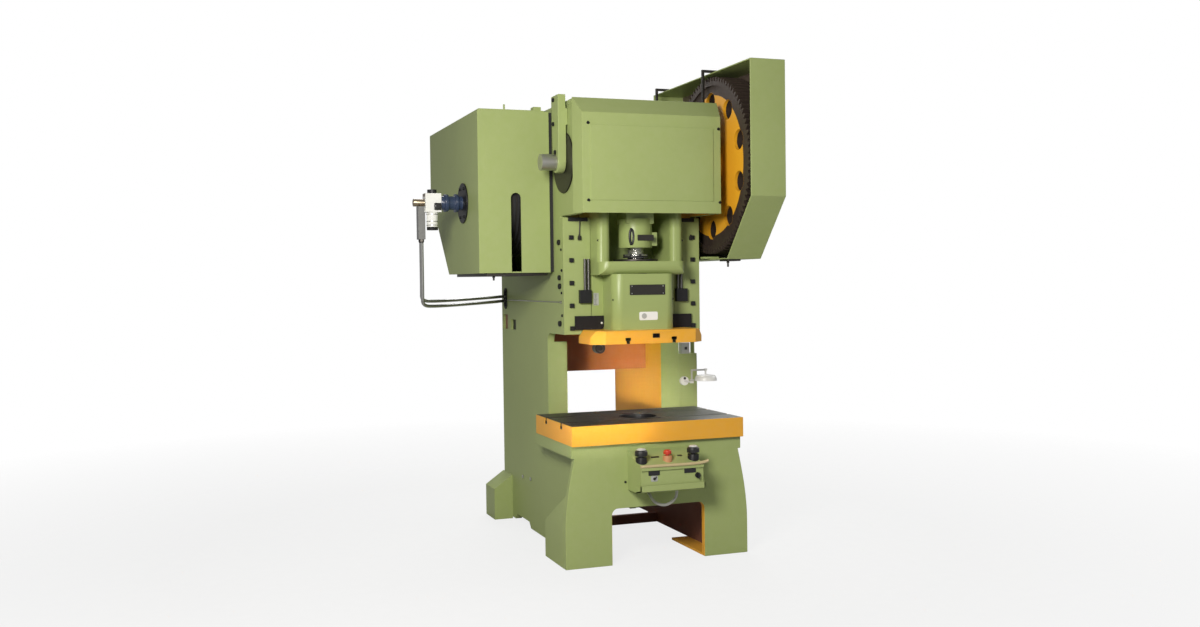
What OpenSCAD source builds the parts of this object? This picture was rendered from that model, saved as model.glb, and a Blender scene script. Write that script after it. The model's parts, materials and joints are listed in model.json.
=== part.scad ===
// Open-front mechanical stamping press with a geared crank, a single connecting rod and a flywheel drive.
// Sizes are in millimetres. X runs to the right, Y to the rear and Z up, seen from the operator's side.
// Inside the modules X = Y = 0 is the ram axis and Z = 0 the floor; press() moves that to the base centre.

/* [Frame] */
// Width across the outer faces of the two side plates
frame_w = 926; // [880:2:1000]
// Thickness of each side plate
side_t = 45; // [35:1:55]
// Width of each column face beside the throat
column_w = 132; // [110:1:150]
// Throat depth, from the ram axis back to the columns
throat_d = 395; // [380:1:420]
// Rear edge of the frame, behind the ram axis
rear_y = 1490; // [1450:1:1530]
// Thickness of cross plates, apron and column flanges
web_t = 40; // [30:1:50]
// Height of the gib housing's lower end
throat_top = 1372; // [1350:1:1390]
// Height of the side plates at the crown
crown_z = 2775; // [2740:1:2800]
// Thickness of the crown plate
crown_t = 30; // [20:1:40]
// Height of the motor deck at the rear
deck_z = 2300; // [2280:1:2310]

/* [Bed] */
// Height of the bolster's working face
table_h = 850; // [830:1:870]
// Bolster width
bolster_w = 1120; // [1090:2:1160]
// Bolster depth
bolster_d = 720; // [690:2:740]
// Bolster thickness
bolster_t = 120; // [100:1:140]
// Diameter of the round die opening
die_hole_d = 240; // [200:2:246]
// Distance of each T-slot from the ram axis
tslot_y = 150; // [148:1:180]
// Thickness of the bed plate under the bolster
bed_t = 75; // [60:1:90]
// Width of the bed plate and of the apron's upper band
bed_w = 1110; // [1090:2:1110]
// Width across the feet
foot_w = 1196; // [1180:2:1230]
// Front face of the apron, in front of the ram axis
apron_y = 328; // [315:1:340]
// Width of the opening between the front legs
arch_w = 606; // [560:2:640]
// Height of that opening
arch_h = 340; // [300:1:360]

/* [Head] */
// Front face of the head cover, in front of the ram axis
head_y = 300; // [295:1:320]
// Depth of the bevelled cover in front of the side plates
head_d = 105; // [100:1:106]
// Width of the cover where it meets the frame
head_w = 956; // [940:2:980]
// Width of the cover's flat face
face_w = 904; // [880:2:920]
// Height of the cover's lower edge
head_bottom = 2110; // [2105:1:2130]
// Height of the bevel over the flat face
bevel_h = 100; // [60:1:110]
// Sheet thickness of the head cover
head_sheet = 12; // [6:1:14]

/* [Slide and gibs] */
// Working stroke of the slide
stroke = 160; // [120:2:170]
// Height of the slide's lower face at the top of the stroke
slide_z = 1318; // [1310:1:1325]
// Thickness of the slide plate
plate_t = 82; // [75:1:90]
// Width of the slide plate
plate_w = 744; // [700:2:760]
// Front face of the slide plate, in front of the ram axis
plate_front = 243; // [230:1:255]
// Front face of the slide, in front of the ram axis
slide_front = 150; // [140:1:160]
// Width of the slide between the guides, across its wings
wing_w = 670; // [650:2:690]
// Width of the slide body seen between the gibs
slide_w = 562; // [550:2:564]
// Front face of the guided wings, behind the ram axis
wing_front = 90; // [86:1:96]
// Rear face of the guided wings, behind the ram axis
wing_rear = 260; // [250:1:270]
// Front plane of the gib plates
gib_y = 50; // [46:1:56]
// Inner edge of each gib plate
gib_x = 284; // [283:1:292]
// Height of the slide above its lower face
slide_h = 862; // [850:1:875]
// Diameter of the shank hole in the slide plate
shank_d = 60; // [50:1:80]

/* [Crank train] */
// Height of the crank axis
crank_z = 2432; // [2425:1:2440]
// Main journal diameter
journal_d = 160; // [150:1:170]
// Crank pin diameter
pin_d = 190; // [170:1:200]
// Space between the crank webs
throw_gap = 190; // [180:1:200]
// Thickness of each crank web
crank_web_t = 85; // [70:1:88]
// Ball centre height
ball_z = 1690; // [1680:1:1700]
// Ball diameter
ball_d = 170; // [160:1:176]
// Adjusting screw diameter
screw_d = 100; // [90:1:104]
// Height of the rod's lower end
rod_bottom = 1908; // [1904:1:1920]
// Diameter of the shaft stub outside the left arm
stub_d = 100; // [80:1:110]

/* [Gears] */
// Gear module
gear_m = 12; // [11:0.5:12]
// Teeth on the crank gear
gear_teeth = 92; // [88:1:92]
// Teeth on the drive pinion
pinion_teeth = 18; // [18:1:20]
// Angle of the pinion below the horizontal, seen from the right
pinion_angle = -18.74; // [-22:0.01:-15]
// Backlash at the pitch circle
backlash = 1; // [0.6:0.1:1.4]
// Face width of the gears
gear_face = 150; // [120:1:160]
// Left face of the gears
gear_x = 520; // [515:1:530]

/* [Flywheel drive] */
// Flywheel radius
fly_r = 355; // [320:1:360]
// Width of the flywheel rim
fly_w = 160; // [150:1:170]
// Left face of the flywheel rim
fly_x = -760; // [-765:1:-750]
// Pinion shaft diameter
pinion_shaft_d = 110; // [100:1:116]
// Motor pulley radius
pulley_r = 105; // [95:1:120]
// Motor axis behind the ram axis
motor_y = 1420; // [1410:1:1430]
// Motor axis height
motor_z = 2500; // [2490:1:2510]
// Motor frame radius without its fins
motor_r = 145; // [130:1:150]
// Number of drive belts
belts = 5; // [3:1:6]

/* [Covers] */
// Left face of the flywheel cover
cover_x = -950; // [-970:1:-940]
// Front face of the flywheel cover
cover_y = 235; // [225:1:245]
// Top of the flywheel cover
cover_top = 2775; // [2770:1:2790]
// Bottom of the flywheel cover
cover_bottom = 1761; // [1740:1:1775]
// Gap between the covers' open edge and the side plates
cover_gap = 24; // [15:1:30]
// Sheet thickness of the covers
sheet = 8; // [4:1:10]
// Right face of the gear guard
guard_x = 740; // [735:1:760]
// Front face of the gear guard, in front of the ram axis
guard_y = 600; // [590:1:620]
// Top of the gear guard
guard_top = 3018; // [3015:1:3040]
// Bottom of the gear guard
guard_bottom = 1830; // [1815:1:1838]

/* [Controls] */
// Width of the control box
box_w = 400; // [360:2:420]
// Depth of the control box
box_d = 212; // [190:1:230]
// Palm button diameter
palm_d = 76; // [60:1:80]
// Distance of each palm button from the middle
palm_x = 168; // [130:1:170]
// Palm button travel
palm_travel = 8; // [5:1:9]
// Diameter of the lamp shade
shade_d = 150; // [120:1:160]

/* [Fits] */
// Radial clearance of a running shaft
run = 0.05; // [0.03:0.01:0.08]
// Clearance between sliding flat faces
slip = 0.15; // [0.1:0.05:0.3]
// Clearance between loose round faces
loose = 0.3; // [0.3:0.05:0.5]

/* [Hidden] */
$fn = 64;
green = "#8a9b55";
amber = "#e2a032";
steel = "#8d9094";
dark = "#3a3836";
black = "#1d1d1f";
bronze = "#a47c3f";

side_x = frame_w / 2;
inner_x = side_x - side_t;
flange_x = side_x - column_w;
bed_top = table_h - bolster_t;
bed_bottom = bed_top - bed_t;
apron_back = -apron_y + web_t;
head_base = -head_y + head_d;
crown_top = crown_z + crown_t;
pin_z = crank_z + stroke / 2;
ball_r = ball_d / 2;
screw_r = screw_d / 2;
journal_r = journal_d / 2;
pin_r = pin_d / 2;
stub_r = stub_d / 2;
web_r = pin_r + 35;
web_x = throw_gap / 2;
big_end_r = pin_r + 55;
rod_half = web_x - 4;
fit_y = [wing_front + slip, wing_rear - slip];
guide_x = wing_w / 2;
guide_back = wing_rear + 90;
bush_r = journal_r + 30;
boss_r = bush_r + 40;
boss_x = inner_x - 88;

centre_dist = gear_m * (gear_teeth + pinion_teeth) / 2;
pinion_y = centre_dist * cos(pinion_angle);
pinion_z = crank_z + centre_dist * sin(pinion_angle);
shaft_r = pinion_shaft_d / 2;

slide_top = slide_z + slide_h;
block_z = slide_z + plate_t;
shelf_z = ball_z + 132;
shelf_t = 82;
pocket_x = 203;
slide_face = gib_y - 4;
cover_right = -side_x - cover_gap;
guard_left = side_x + 42;
arm_t = 50;
arm_x = -side_x - 13 - arm_t;
valve_x = cover_x - 259;
valve_end = valve_x - 71;
cover_rear = 1630;

x_mid = (valve_end + guard_x) / 2;
y_mid = (cover_rear - guard_y) / 2;

// Placing helpers
module press() { translate([-x_mid, -y_mid, 0]) children(); }
module block(a, b) { translate(a) cube(b - a); }
module along_x(x0, x1) { translate([x0, 0, 0]) rotate([90, 0, 90]) linear_extrude(x1 - x0) children(); }
module along_y(y0, y1) { translate([0, y1, 0]) rotate([90, 0, 0]) linear_extrude(y1 - y0) children(); }
module along_z(z0, z1) { translate([0, 0, z0]) linear_extrude(z1 - z0) children(); }
module x_bar(x0, x1, r) { along_x(x0, x1) circle(r); }
module at_crank() { translate([0, 0, crank_z]) children(); }
module at_pinion() { translate([0, pinion_y, pinion_z]) children(); }
module at_motor() { translate([0, motor_y, motor_z]) children(); }
module both_sides() { children(); mirror([1, 0, 0]) children(); }

// Points of a circular arc
function arc(c, r, a0, a1, n = 8) = [for (i = [0 : n]) c + r * [cos(a0 + (a1 - a0) * i / n), sin(a0 + (a1 - a0) * i / n)]];

// An outline moved inwards by d, for outlines listed anticlockwise
function unit(v) = v / norm(v);
function left_of(v) = [-v[1], v[0]];
function meet(p, u, q, v) = p + u * (((q - p)[0] * v[1] - (q - p)[1] * v[0]) / (u[0] * v[1] - u[1] * v[0]));
function inset(pts, d) = let (n = len(pts)) [for (i = [0 : n - 1])
  let (a = pts[(i + n - 1) % n], b = pts[i], c = pts[(i + 1) % n], u = unit(b - a), v = unit(c - b))
  meet(b + d * left_of(u), u, b + d * left_of(v), v)];

// A tube of radius r swept through a list of points
function dir_at(p, i) = unit(p[min(i + 1, len(p) - 1)] - p[max(i - 1, 0)]);
function side_of(d) = unit(cross(d, abs(d[2]) > 0.9 ? [0, 1, 0] : [0, 0, 1]));
function smooth(p, k) = k == 0 ? p : smooth(concat([p[0]],
  [for (i = [0 : len(p) - 2]) for (t = [0.25, 0.75]) p[i] * (1 - t) + p[i + 1] * t], [p[len(p) - 1]]), k - 1);
module swept_tube(path, r, sides = 10) {
  rings = len(path);
  points = [for (i = [0 : rings - 1]) let (d = dir_at(path, i), u = side_of(d), v = cross(d, u))
    for (k = [0 : sides - 1]) path[i] + r * (u * cos(360 * k / sides) + v * sin(360 * k / sides))];
  walls = [for (i = [0 : rings - 2]) for (k = [0 : sides - 1]) let (a = i * sides, m = (k + 1) % sides)
    each [[a + k, a + m, a + sides + k], [a + m, a + sides + m, a + sides + k]]];
  ends = [[for (k = [sides - 1 : -1 : 0]) k], [for (k = [0 : sides - 1]) (rings - 1) * sides + k]];
  polyhedron(points, concat(walls, ends), convexity = 6);
}

// Involute tooth outline about the origin, first tooth centred on the angle given
function involute(a) = tan(a) - a * PI / 180;
function half_tooth(r, rp, rb, n) = 180 / PI * (PI / (2 * n) - backlash / (4 * rp) + involute(20) - involute(acos(min(1, rb / r))));
function gear_outline(n, start) = let (rp = gear_m * n / 2, rb = rp * cos(20), root = rp - 1.25 * gear_m, tip = rp + gear_m,
  foot = max(root + 1, rb), radii = [root, foot, (foot + rp) / 2, rp, (rp + tip) / 2, tip])
  [for (i = [0 : n - 1]) each concat(
    [for (r = radii) let (a = start + i * 360 / n - half_tooth(max(r, rb), rp, rb, n)) r * [cos(a), sin(a)]],
    [for (k = [5 : -1 : 0]) let (r = radii[k], a = start + i * 360 / n + half_tooth(max(r, rb), rp, rb, n)) r * [cos(a), sin(a)]])];

// Frame: side plates with columns, feet and bearing bosses
side_bottom = 12;
notch = [830, 1205, 40];
throat_r = 60;
side_outline = concat(
  [[apron_back, side_bottom], [notch[0], side_bottom], [notch[0] + notch[2], side_bottom + notch[2]],
   [notch[1] - notch[2], side_bottom + notch[2]], [notch[1], side_bottom], [rear_y, side_bottom], [rear_y, deck_z],
   [rear_y - 310, deck_z], [rear_y - 510, crown_z], [head_base, crown_z], [head_base, head_bottom],
   [wing_front, head_bottom], [wing_front, throat_top]],
  arc([throat_d - throat_r, throat_top - throat_r], throat_r, 90, 0),
  [[throat_d, bed_bottom], [apron_back, bed_bottom]]);

step_x = bed_w / 2 - 18;
flare_z = 200;
function flare_x(z) = step_x + (foot_w / 2 - step_x) * sin(90 * (bed_bottom - z) / (bed_bottom - flare_z));
flare = [for (i = [0 : 8]) let (z = bed_bottom + (flare_z - bed_bottom) * i / 8) [flare_x(z), z]];
foot_back = 74;
foot_slope = [432, 222];
rear_foot = [1280, 1520];
rear_foot_h = [221, 316];

module side_holes() {
  translate([0, crank_z]) circle(bush_r);
  translate([pinion_y, pinion_z]) circle(shaft_r + 40);
}
module foot_flank() {
  intersection() {
    along_y(apron_back, foot_back) polygon(concat([[side_x, 0], [side_x, bed_bottom]], flare, [[foot_w / 2, 0]]));
    along_x(side_x, foot_w / 2) polygon([[apron_back, 0], [foot_back, 0], [foot_back, foot_slope[1]], [apron_back, foot_slope[0]]]);
  }
}
module side_frame() {
  difference() {
    union() {
      along_x(inner_x, side_x) polygon(side_outline);
      at_crank() x_bar(boss_x, inner_x, boss_r);
      block([flange_x, throat_d, bed_bottom], [inner_x, throat_d + web_t, throat_top - throat_r]);
      foot_flank();
      along_y(rear_foot[0], rear_foot[1])
        polygon([[side_x, 0], [foot_w / 2, 0], [foot_w / 2, rear_foot_h[0]], [side_x, rear_foot_h[1]]]);
    }
    along_x(boss_x - 1, side_x + 1) side_holes();
  }
}
grommet = [rear_y - 108, 1586, 27, 84];
module left_side_frame() {
  color(green) press() difference() {
    mirror([1, 0, 0]) side_frame();
    block([-side_x - 1, rear_y - 360, 1365], [-inner_x + 1, rear_y - 230, 1438]);
    block([-side_x - 1, rear_y - 150, 1365], [-inner_x + 1, rear_y - 30, 1470]);
    along_x(-side_x - 1, -inner_x + 1) {
      for (s = [-1, 1]) translate([grommet[0], grommet[1] + s * (grommet[3] / 2)]) circle(grommet[2]);
      translate([grommet[0] - grommet[2], grommet[1] - grommet[3] / 2]) square([2 * grommet[2], grommet[3]]);
    }
  }
}
module right_side_frame() { color(green) press() side_frame(); }

arch_r = 40;
module front_apron() {
  half = concat(arc([arch_w / 2 - arch_r, arch_h - arch_r], arch_r, 90, 0), [[arch_w / 2, 0], [foot_w / 2, 0]],
    [for (i = [8 : -1 : 0]) flare[i]], [[bed_w / 2, bed_bottom], [bed_w / 2, bed_top]]);
  color(green) press() along_y(-apron_y, apron_back)
    polygon(concat(half, [for (i = [len(half) - 1 : -1 : 0]) [-half[i][0], half[i][1]]]));
}
module bed_plate() {
  color(green) press() difference() {
    block([-bed_w / 2, apron_back, bed_bottom], [bed_w / 2, throat_d, bed_top]);
    along_z(bed_bottom - 1, bed_top + 1) circle(die_hole_d / 2 + 30);
  }
}
// A T-slot's section, with its mouth at the top: neck and head are each a width and a depth
module tslot_profile(neck, head) {
  translate([-neck[0] / 2, -neck[1]]) square([neck[0], neck[1] + 1]);
  translate([-head[0] / 2, -neck[1] - head[1]]) square(head);
}
bolster_slot = [[28, 18], [46, 20]];
module bolster_plate() {
  color(amber) press() difference() {
    block([-bolster_w / 2, -bolster_d / 2, bed_top], [bolster_w / 2, bolster_d / 2, table_h]);
    along_z(bed_top - 1, table_h + 1) circle(die_hole_d / 2);
    along_x(-bolster_w, bolster_w) for (s = [-1, 1]) translate([s * tslot_y, table_h])
      tslot_profile(bolster_slot[0], bolster_slot[1]);
  }
}
web_y = 870;
web_z = [1080, 1500];
module throat_web() { color(amber) press() block([-inner_x, web_y, web_z[0]], [inner_x, web_y + web_t, web_z[1]]); }
module rear_plates() {
  color(green) press() for (z = [[60, 600], [1150, deck_z - 40]])
    block([-inner_x, rear_y - 50, z[0]], [inner_x, rear_y - 50 + web_t, z[1]]);
}
module foot_tie() { color(amber) press() block([-inner_x, 700, side_bottom], [inner_x, 700 + web_t, 75]); }
module foot_plates() {
  color(amber) press() both_sides() block([arch_w / 2, apron_back, 0], [inner_x, 180, 15]);
}
module crown_plate() { color(green) press() block([-side_x, head_base, crown_z], [side_x, rear_y - 510, crown_top]); }

// Head cover, a bevelled box open below and behind
module head_form(t) {
  intersection() {
    along_z(head_bottom - (t > 0 ? 1 : 0), crown_top)
      polygon([[-head_w / 2 + t, head_base + (t > 0 ? 1 : 0)], [-face_w / 2 + t, -head_y + t], [face_w / 2 - t, -head_y + t],
        [head_w / 2 - t, head_base + (t > 0 ? 1 : 0)]]);
    along_x(-head_w, head_w) polygon([[head_base + 2, head_bottom - 1], [-head_y + t, head_bottom - 1],
      [-head_y + t, crown_top - bevel_h - t], [head_base - 2, crown_top - t], [head_base + 2, crown_top - t]]);
  }
}
panel_w = 800;
panel_z = [head_bottom + 75, crown_top - bevel_h - 75];
panel_t = 5;
module head_cover() {
  color(green) press() {
    difference() {
      head_form(0);
      head_form(head_sheet);
    }
    block([-panel_w / 2, -head_y - panel_t, panel_z[0]], [panel_w / 2, -head_y, panel_z[1]]);
  }
}

// Outboard arm that steadies the shaft stub
arm_front = 75;
arm_rear = 55;
arm_top = crown_top + 35;
module outboard_arm() {
  color(green) press() {
    difference() {
      union() {
        along_x(arm_x, arm_x + arm_t) polygon([[-arm_front, crank_z], [arm_rear, crank_z], [arm_rear, arm_top], [-arm_front, arm_top]]);
        translate([0, (arm_rear - arm_front) / 2, crank_z]) x_bar(arm_x, arm_x + arm_t, (arm_front + arm_rear) / 2);
        block([arm_x + arm_t, -arm_front, crown_z - 120], [-side_x, arm_rear, crown_z - 20]);
      }
      at_crank() x_bar(arm_x - 1, arm_x + arm_t + 1, stub_r + run);
    }
  }
}
module main_bushes() {
  color(bronze) press() both_sides() at_crank() difference() {
    x_bar(boss_x, side_x, bush_r - run);
    x_bar(boss_x - 1, side_x + 1, journal_r + run);
  }
}

// Gibs and guides
gib_top = head_bottom - 10;
module guide() {
  along_z(throat_top, gib_top) polygon([[inner_x, wing_front], [guide_x, wing_front], [guide_x, wing_rear],
    [gib_x, wing_rear], [gib_x, guide_back], [inner_x, guide_back]]);
}
module left_guide() { color(green) press() mirror([1, 0, 0]) guide(); }
module right_guide() { color(green) press() guide(); }
module front_gib() { block([gib_x, gib_y, throat_top], [side_x, wing_front, gib_top]); }
module left_front_gib() { color(green) press() mirror([1, 0, 0]) front_gib(); }
module right_front_gib() { color(green) press() front_gib(); }

bolt_x = side_x - 51;
bolt_head = [27, 15];
bolt_rows = 5;
bolt_z = [throat_top + 39, gib_top - 124];
module gib_bolts() {
  color(black) press() both_sides() for (i = [0 : bolt_rows - 1])
    let (z = bolt_z[0] + (bolt_z[1] - bolt_z[0]) * i / (bolt_rows - 1))
    block([bolt_x - bolt_head[0] / 2, gib_y - bolt_head[1], z - bolt_head[0] / 2],
      [bolt_x + bolt_head[0] / 2, gib_y, z + bolt_head[0] / 2]);
}
stop_z = [throat_top + 195, throat_top + 277, throat_top + 470];
stop_x = [gib_x + 4, gib_x + 82];
stop_depth = 30;
module stop_blocks() {
  color(black) press() both_sides() block([stop_x[0], gib_y - stop_depth, stop_z[0]], [stop_x[1], gib_y, stop_z[1]]);
}
stop_rod_r = 9;
module stop_rods() {
  color(steel) press() both_sides() for (x = [20, 43])
    translate([gib_x + x, gib_y - stop_depth / 2, stop_z[1]]) cylinder(r = stop_rod_r, h = stop_z[2] - stop_z[1]);
}

// Flywheel cover and its fixings, outline seen from the right
cover_outline = [[cover_y, cover_bottom], [1073, cover_bottom], [cover_rear, 2334], [cover_rear, cover_top], [cover_y, cover_top]];
slot_x = [-741, -676];
slot_top = 2230;
module flywheel_cover() {
  color(green) press() difference() {
    along_x(cover_x, cover_right) polygon(cover_outline);
    along_x(cover_x + sheet, cover_right + 1) polygon(inset(cover_outline, sheet));
    at_pinion() x_bar(cover_x - 1, cover_x + sheet + 1, union_r + 6);
    block([slot_x[0], cover_y - 1, cover_bottom - 1], [slot_x[1], cover_y + sheet + 1, slot_top]);
    along_y(cover_y - 1, cover_y + sheet + 1) translate([(slot_x[0] + slot_x[1]) / 2, slot_top]) circle((slot_x[1] - slot_x[0]) / 2);
  }
}
lid_t = 9;
module cover_lid() {
  color(green) press() {
    block([cover_x + 15, cover_y + 20, cover_top], [cover_right - 25, cover_rear - 20, cover_top + lid_t]);
    translate([cover_x + 190, cover_y + 60, cover_top + lid_t]) cylinder(r = 6, h = 36);
    block([cover_right - 90, cover_y + 30, cover_top + lid_t], [cover_right - 40, cover_y + 90, cover_top + lid_t + 24]);
  }
}
bracket = [60, 12];
module cover_brackets() {
  color(green) press() {
    for (y = [500, 860]) block([cover_right - 40, y, cover_top - sheet - bracket[1]], [-side_x, y + bracket[0], cover_top - sheet]);
    for (y = [400, 900]) block([cover_right - 40, y, cover_bottom + sheet], [-side_x, y + bracket[0], cover_bottom + sheet + bracket[1]]);
    for (y = [-30, 330]) block([side_x, y, guard_bottom + sheet], [guard_left + 60, y + bracket[0], guard_bottom + sheet + bracket[1]]);
  }
}

// Gear guard and its hanger stays, open towards the frame
guard_outline = [[-270, guard_bottom], [720, guard_bottom], [880, 2060], [880, guard_top], [-guard_y, guard_top], [-guard_y, 2200]];
module gear_guard() {
  color(green) press() difference() {
    along_x(guard_left, guard_x) polygon(guard_outline);
    along_x(guard_left - 1, guard_x - sheet) polygon(inset(guard_outline, sheet));
  }
}
stay = 16;
stay_x = side_x - 21;
module guard_stays() {
  color(dark) press() for (y = [-68, 682]) {
    block([stay_x, y, crown_top], [stay_x + stay, y + stay, guard_top]);
    block([stay_x, y, guard_top], [guard_left + 60, y + stay, guard_top + stay]);
  }
}

// Crankshaft in two halves, with the pin carried by the rod
crank_right = gear_x + gear_face + 20;
module crank_web() {
  along_x(web_x, web_x + crank_web_t) {
    translate([0, crank_z]) circle(web_r);
    translate([0, pin_z]) circle(web_r);
    translate([-web_r, crank_z]) square([2 * web_r, pin_z - crank_z]);
  }
}
module crankshaft() {
  color(steel) press() {
    both_sides() crank_web();
    at_crank() {
      x_bar(-side_x - 1, -web_x - crank_web_t, journal_r);
      x_bar(-620, -side_x - 1, stub_r);
      x_bar(web_x + crank_web_t, crank_right, journal_r);
    }
  }
}
disc_r = 186;
module crank_disc() {
  color(dark) press() at_crank() difference() {
    x_bar(-side_x - 11, -side_x - 2, disc_r);
    x_bar(-side_x - 12, -side_x, stub_r + run);
  }
}
rim_r = gear_m * gear_teeth / 2 - 3.5 * gear_m;
gear_holes = 10;
hole_ring = 408;
hole_r = 62;
gear_web = [12, 72];
hub_r = 165;
module bull_gear() {
  color(amber) press() at_crank() difference() {
    union() {
      difference() {
        along_x(gear_x, gear_x + gear_face) polygon(gear_outline(gear_teeth, pinion_angle + 180 / gear_teeth));
        x_bar(gear_x - 1, gear_x + gear_face + 1, rim_r);
      }
      x_bar(gear_x + gear_web[0], gear_x + gear_web[1], rim_r + 1);
      x_bar(gear_x - 15, gear_x + gear_face + 10, hub_r);
    }
    x_bar(gear_x - 20, gear_x + gear_face + 20, journal_r + run);
    along_x(gear_x, gear_x + gear_face) for (i = [0 : gear_holes - 1])
      rotate((i + 0.5) * 360 / gear_holes) translate([hole_ring, 0]) circle(hole_r);
  }
}

// Pinion shaft with its bearings, pinion, clutch and flywheel
shaft_left = cover_x + sheet + 10;
bearing_flange = [22, 35];
module pinion_bearings() {
  color(steel) press() both_sides() at_pinion() difference() {
    union() {
      x_bar(inner_x, side_x, shaft_r + 40 - run);
      x_bar(side_x, side_x + bearing_flange[0], shaft_r + 40 + bearing_flange[1]);
    }
    x_bar(inner_x - 1, side_x + bearing_flange[0] + 1, shaft_r + run);
  }
}
module pinion_shaft() { color(steel) press() at_pinion() x_bar(shaft_left, gear_x + gear_face + 30, shaft_r); }
module drive_pinion() {
  color(dark) press() at_pinion() difference() {
    along_x(gear_x, gear_x + gear_face) polygon(gear_outline(pinion_teeth, pinion_angle + 180));
    x_bar(gear_x - 1, gear_x + gear_face + 1, shaft_r + run);
  }
}
clutch_r = 210;
clutch_gap = 12;
module clutch() {
  color(dark) press() at_pinion() difference() {
    union() {
      x_bar(fly_x - clutch_gap - 110, fly_x - clutch_gap - 60, clutch_r);
      x_bar(fly_x - clutch_gap - 50, fly_x - clutch_gap, clutch_r - 15);
      x_bar(fly_x - clutch_gap - 130, fly_x - clutch_gap, 110);
    }
    x_bar(fly_x - clutch_gap - 131, fly_x - clutch_gap + 1, shaft_r + run);
  }
}
groove_w = 17;
groove_d = 14;
belt_w = 15;
belt_t = 11;
belt_pitch = 25;
function belt_x(i) = fly_x + fly_w / 2 + (i - (belts - 1) / 2) * belt_pitch;
module grooves(r) {
  for (i = [0 : belts - 1]) difference() {
    x_bar(belt_x(i) - groove_w / 2, belt_x(i) + groove_w / 2, r + 1);
    x_bar(belt_x(i) - groove_w / 2 - 1, belt_x(i) + groove_w / 2 + 1, r - groove_d);
  }
}
module flywheel() {
  color(dark) press() at_pinion() difference() {
    x_bar(fly_x, fly_x + fly_w, fly_r);
    for (x = [fly_x - 1, fly_x + fly_w - 49]) difference() {
      x_bar(x, x + 50, fly_r - 60);
      x_bar(x - 1, x + 51, 120);
    }
    x_bar(fly_x - 1, fly_x + fly_w + 1, shaft_r + run);
    grooves(fly_r);
  }
}
motor_x = [-430, 80];
module motor_pulley() {
  color(dark) press() at_motor() {
    difference() {
      x_bar(fly_x, fly_x + fly_w, pulley_r);
      grooves(pulley_r);
    }
    x_bar(fly_x + fly_w, motor_x[0] - 2, 30);
  }
}
// A closed loop round the flywheel and the pulley, at an offset from their groove floors. Its chords
// touch the circle that they stand for, so the loop never dips into a groove
belt_span = norm([motor_y - pinion_y, motor_z - pinion_z]);
belt_tilt = atan2(motor_z - pinion_z, motor_y - pinion_y);
belt_steps = 36;
function wrap(c, r, a0, a1) = arc(c, r / cos((a1 - a0) / belt_steps / 2), a0, a1, belt_steps);
module belt_loop(offset_r) {
  r1 = fly_r - groove_d + offset_r;
  r2 = pulley_r - groove_d + offset_r;
  lean = acos((r1 - r2) / belt_span);
  translate([pinion_y, pinion_z]) rotate(belt_tilt)
    polygon(concat(wrap([belt_span, 0], r2, -lean, lean), wrap([0, 0], r1, lean, 360 - lean)));
}
module drive_belts() {
  color(black) press() for (i = [0 : belts - 1]) along_x(belt_x(i) - belt_w / 2, belt_x(i) + belt_w / 2) difference() {
    belt_loop(loose + belt_t);
    belt_loop(loose);
  }
}
motor_fins = 28;
motor_foot_z = deck_z + web_t;
module motor() {
  color(green) press() {
    at_motor() {
      along_x(motor_x[0] + 40, motor_x[1] - 90) {
        circle(motor_r);
        for (i = [0 : motor_fins - 1]) rotate(i * 360 / motor_fins) translate([motor_r - 3, -3]) square([15, 6]);
      }
      x_bar(motor_x[0], motor_x[0] + 40, motor_r + 8);
      x_bar(motor_x[1] - 90, motor_x[1], motor_r + 5);
      block([-250, -70, motor_r - 20], [-110, 70, motor_r + 60]);
    }
    block([motor_x[0] + 60, motor_y - 130, motor_foot_z], [motor_x[1] - 110, motor_y + 130, motor_foot_z + 20]);
    block([motor_x[0] + 60, motor_y - 60, motor_foot_z + 20], [motor_x[1] - 110, motor_y + 60, motor_z - motor_r + 30]);
  }
}
module motor_base() {
  color(green) press() block([-side_x, rear_y - 300, deck_z], [side_x, rear_y + 90, motor_foot_z]);
}

// Air feed on the flywheel cover
union_r = 45;
union_flange = [130, 10];
module rotary_union() {
  color(dark) press() at_pinion() {
    difference() {
      x_bar(cover_x - union_flange[1], cover_x, union_flange[0]);
      x_bar(cover_x - union_flange[1] - 1, cover_x + 1, union_r - 2);
    }
    x_bar(cover_x - 155, cover_x + sheet, union_r);
    x_bar(cover_x - 130, cover_x - 105, union_r + 12);
    x_bar(cover_x - 60, cover_x - 40, union_r + 14);
  }
}
elbow_z = pinion_z - 235;
module air_valve() {
  color("silver") press() {
    block([valve_x, pinion_y - 42, pinion_z - 60], [cover_x - 155, pinion_y + 42, pinion_z + 60]);
    translate([valve_x + 52, pinion_y, pinion_z + 60]) cylinder(r = 30, h = 25);
    translate([valve_x + 52, pinion_y, pinion_z - 175]) cylinder(r = 36, h = 115);
    at_pinion() x_bar(valve_end, valve_x, 24);
    block([valve_x - 45, pinion_y - 30, elbow_z], [valve_x, pinion_y + 30, pinion_z - 24]);
  }
}
// Two pipes and a thin cable from the valve to the grommet in the left side plate
pipe_r = 11;
pipe_end_y = grommet[0];
module air_pipe(shift, drop) {
  swept_tube(smooth([[valve_x - 22, pinion_y + shift, elbow_z], [valve_x - 22, pinion_y + shift, elbow_z - 60],
    [valve_x - 22, pinion_y + shift, 1640 + drop], [valve_x - 22, pinion_y + shift + 10, 1570 + drop],
    [valve_x + 60, pinion_y + 80 + shift, 1558 + drop], [-side_x - 120, pipe_end_y - 110 + shift, 1572 + drop],
    [-side_x - 40, pipe_end_y - 10, 1576 + drop], [-side_x + 15, pipe_end_y, 1576 + drop]], 2), pipe_r);
}
module air_lines() {
  color("gray") press() {
    air_pipe(15, 24);
    air_pipe(-15, -8);
  }
}

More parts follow.
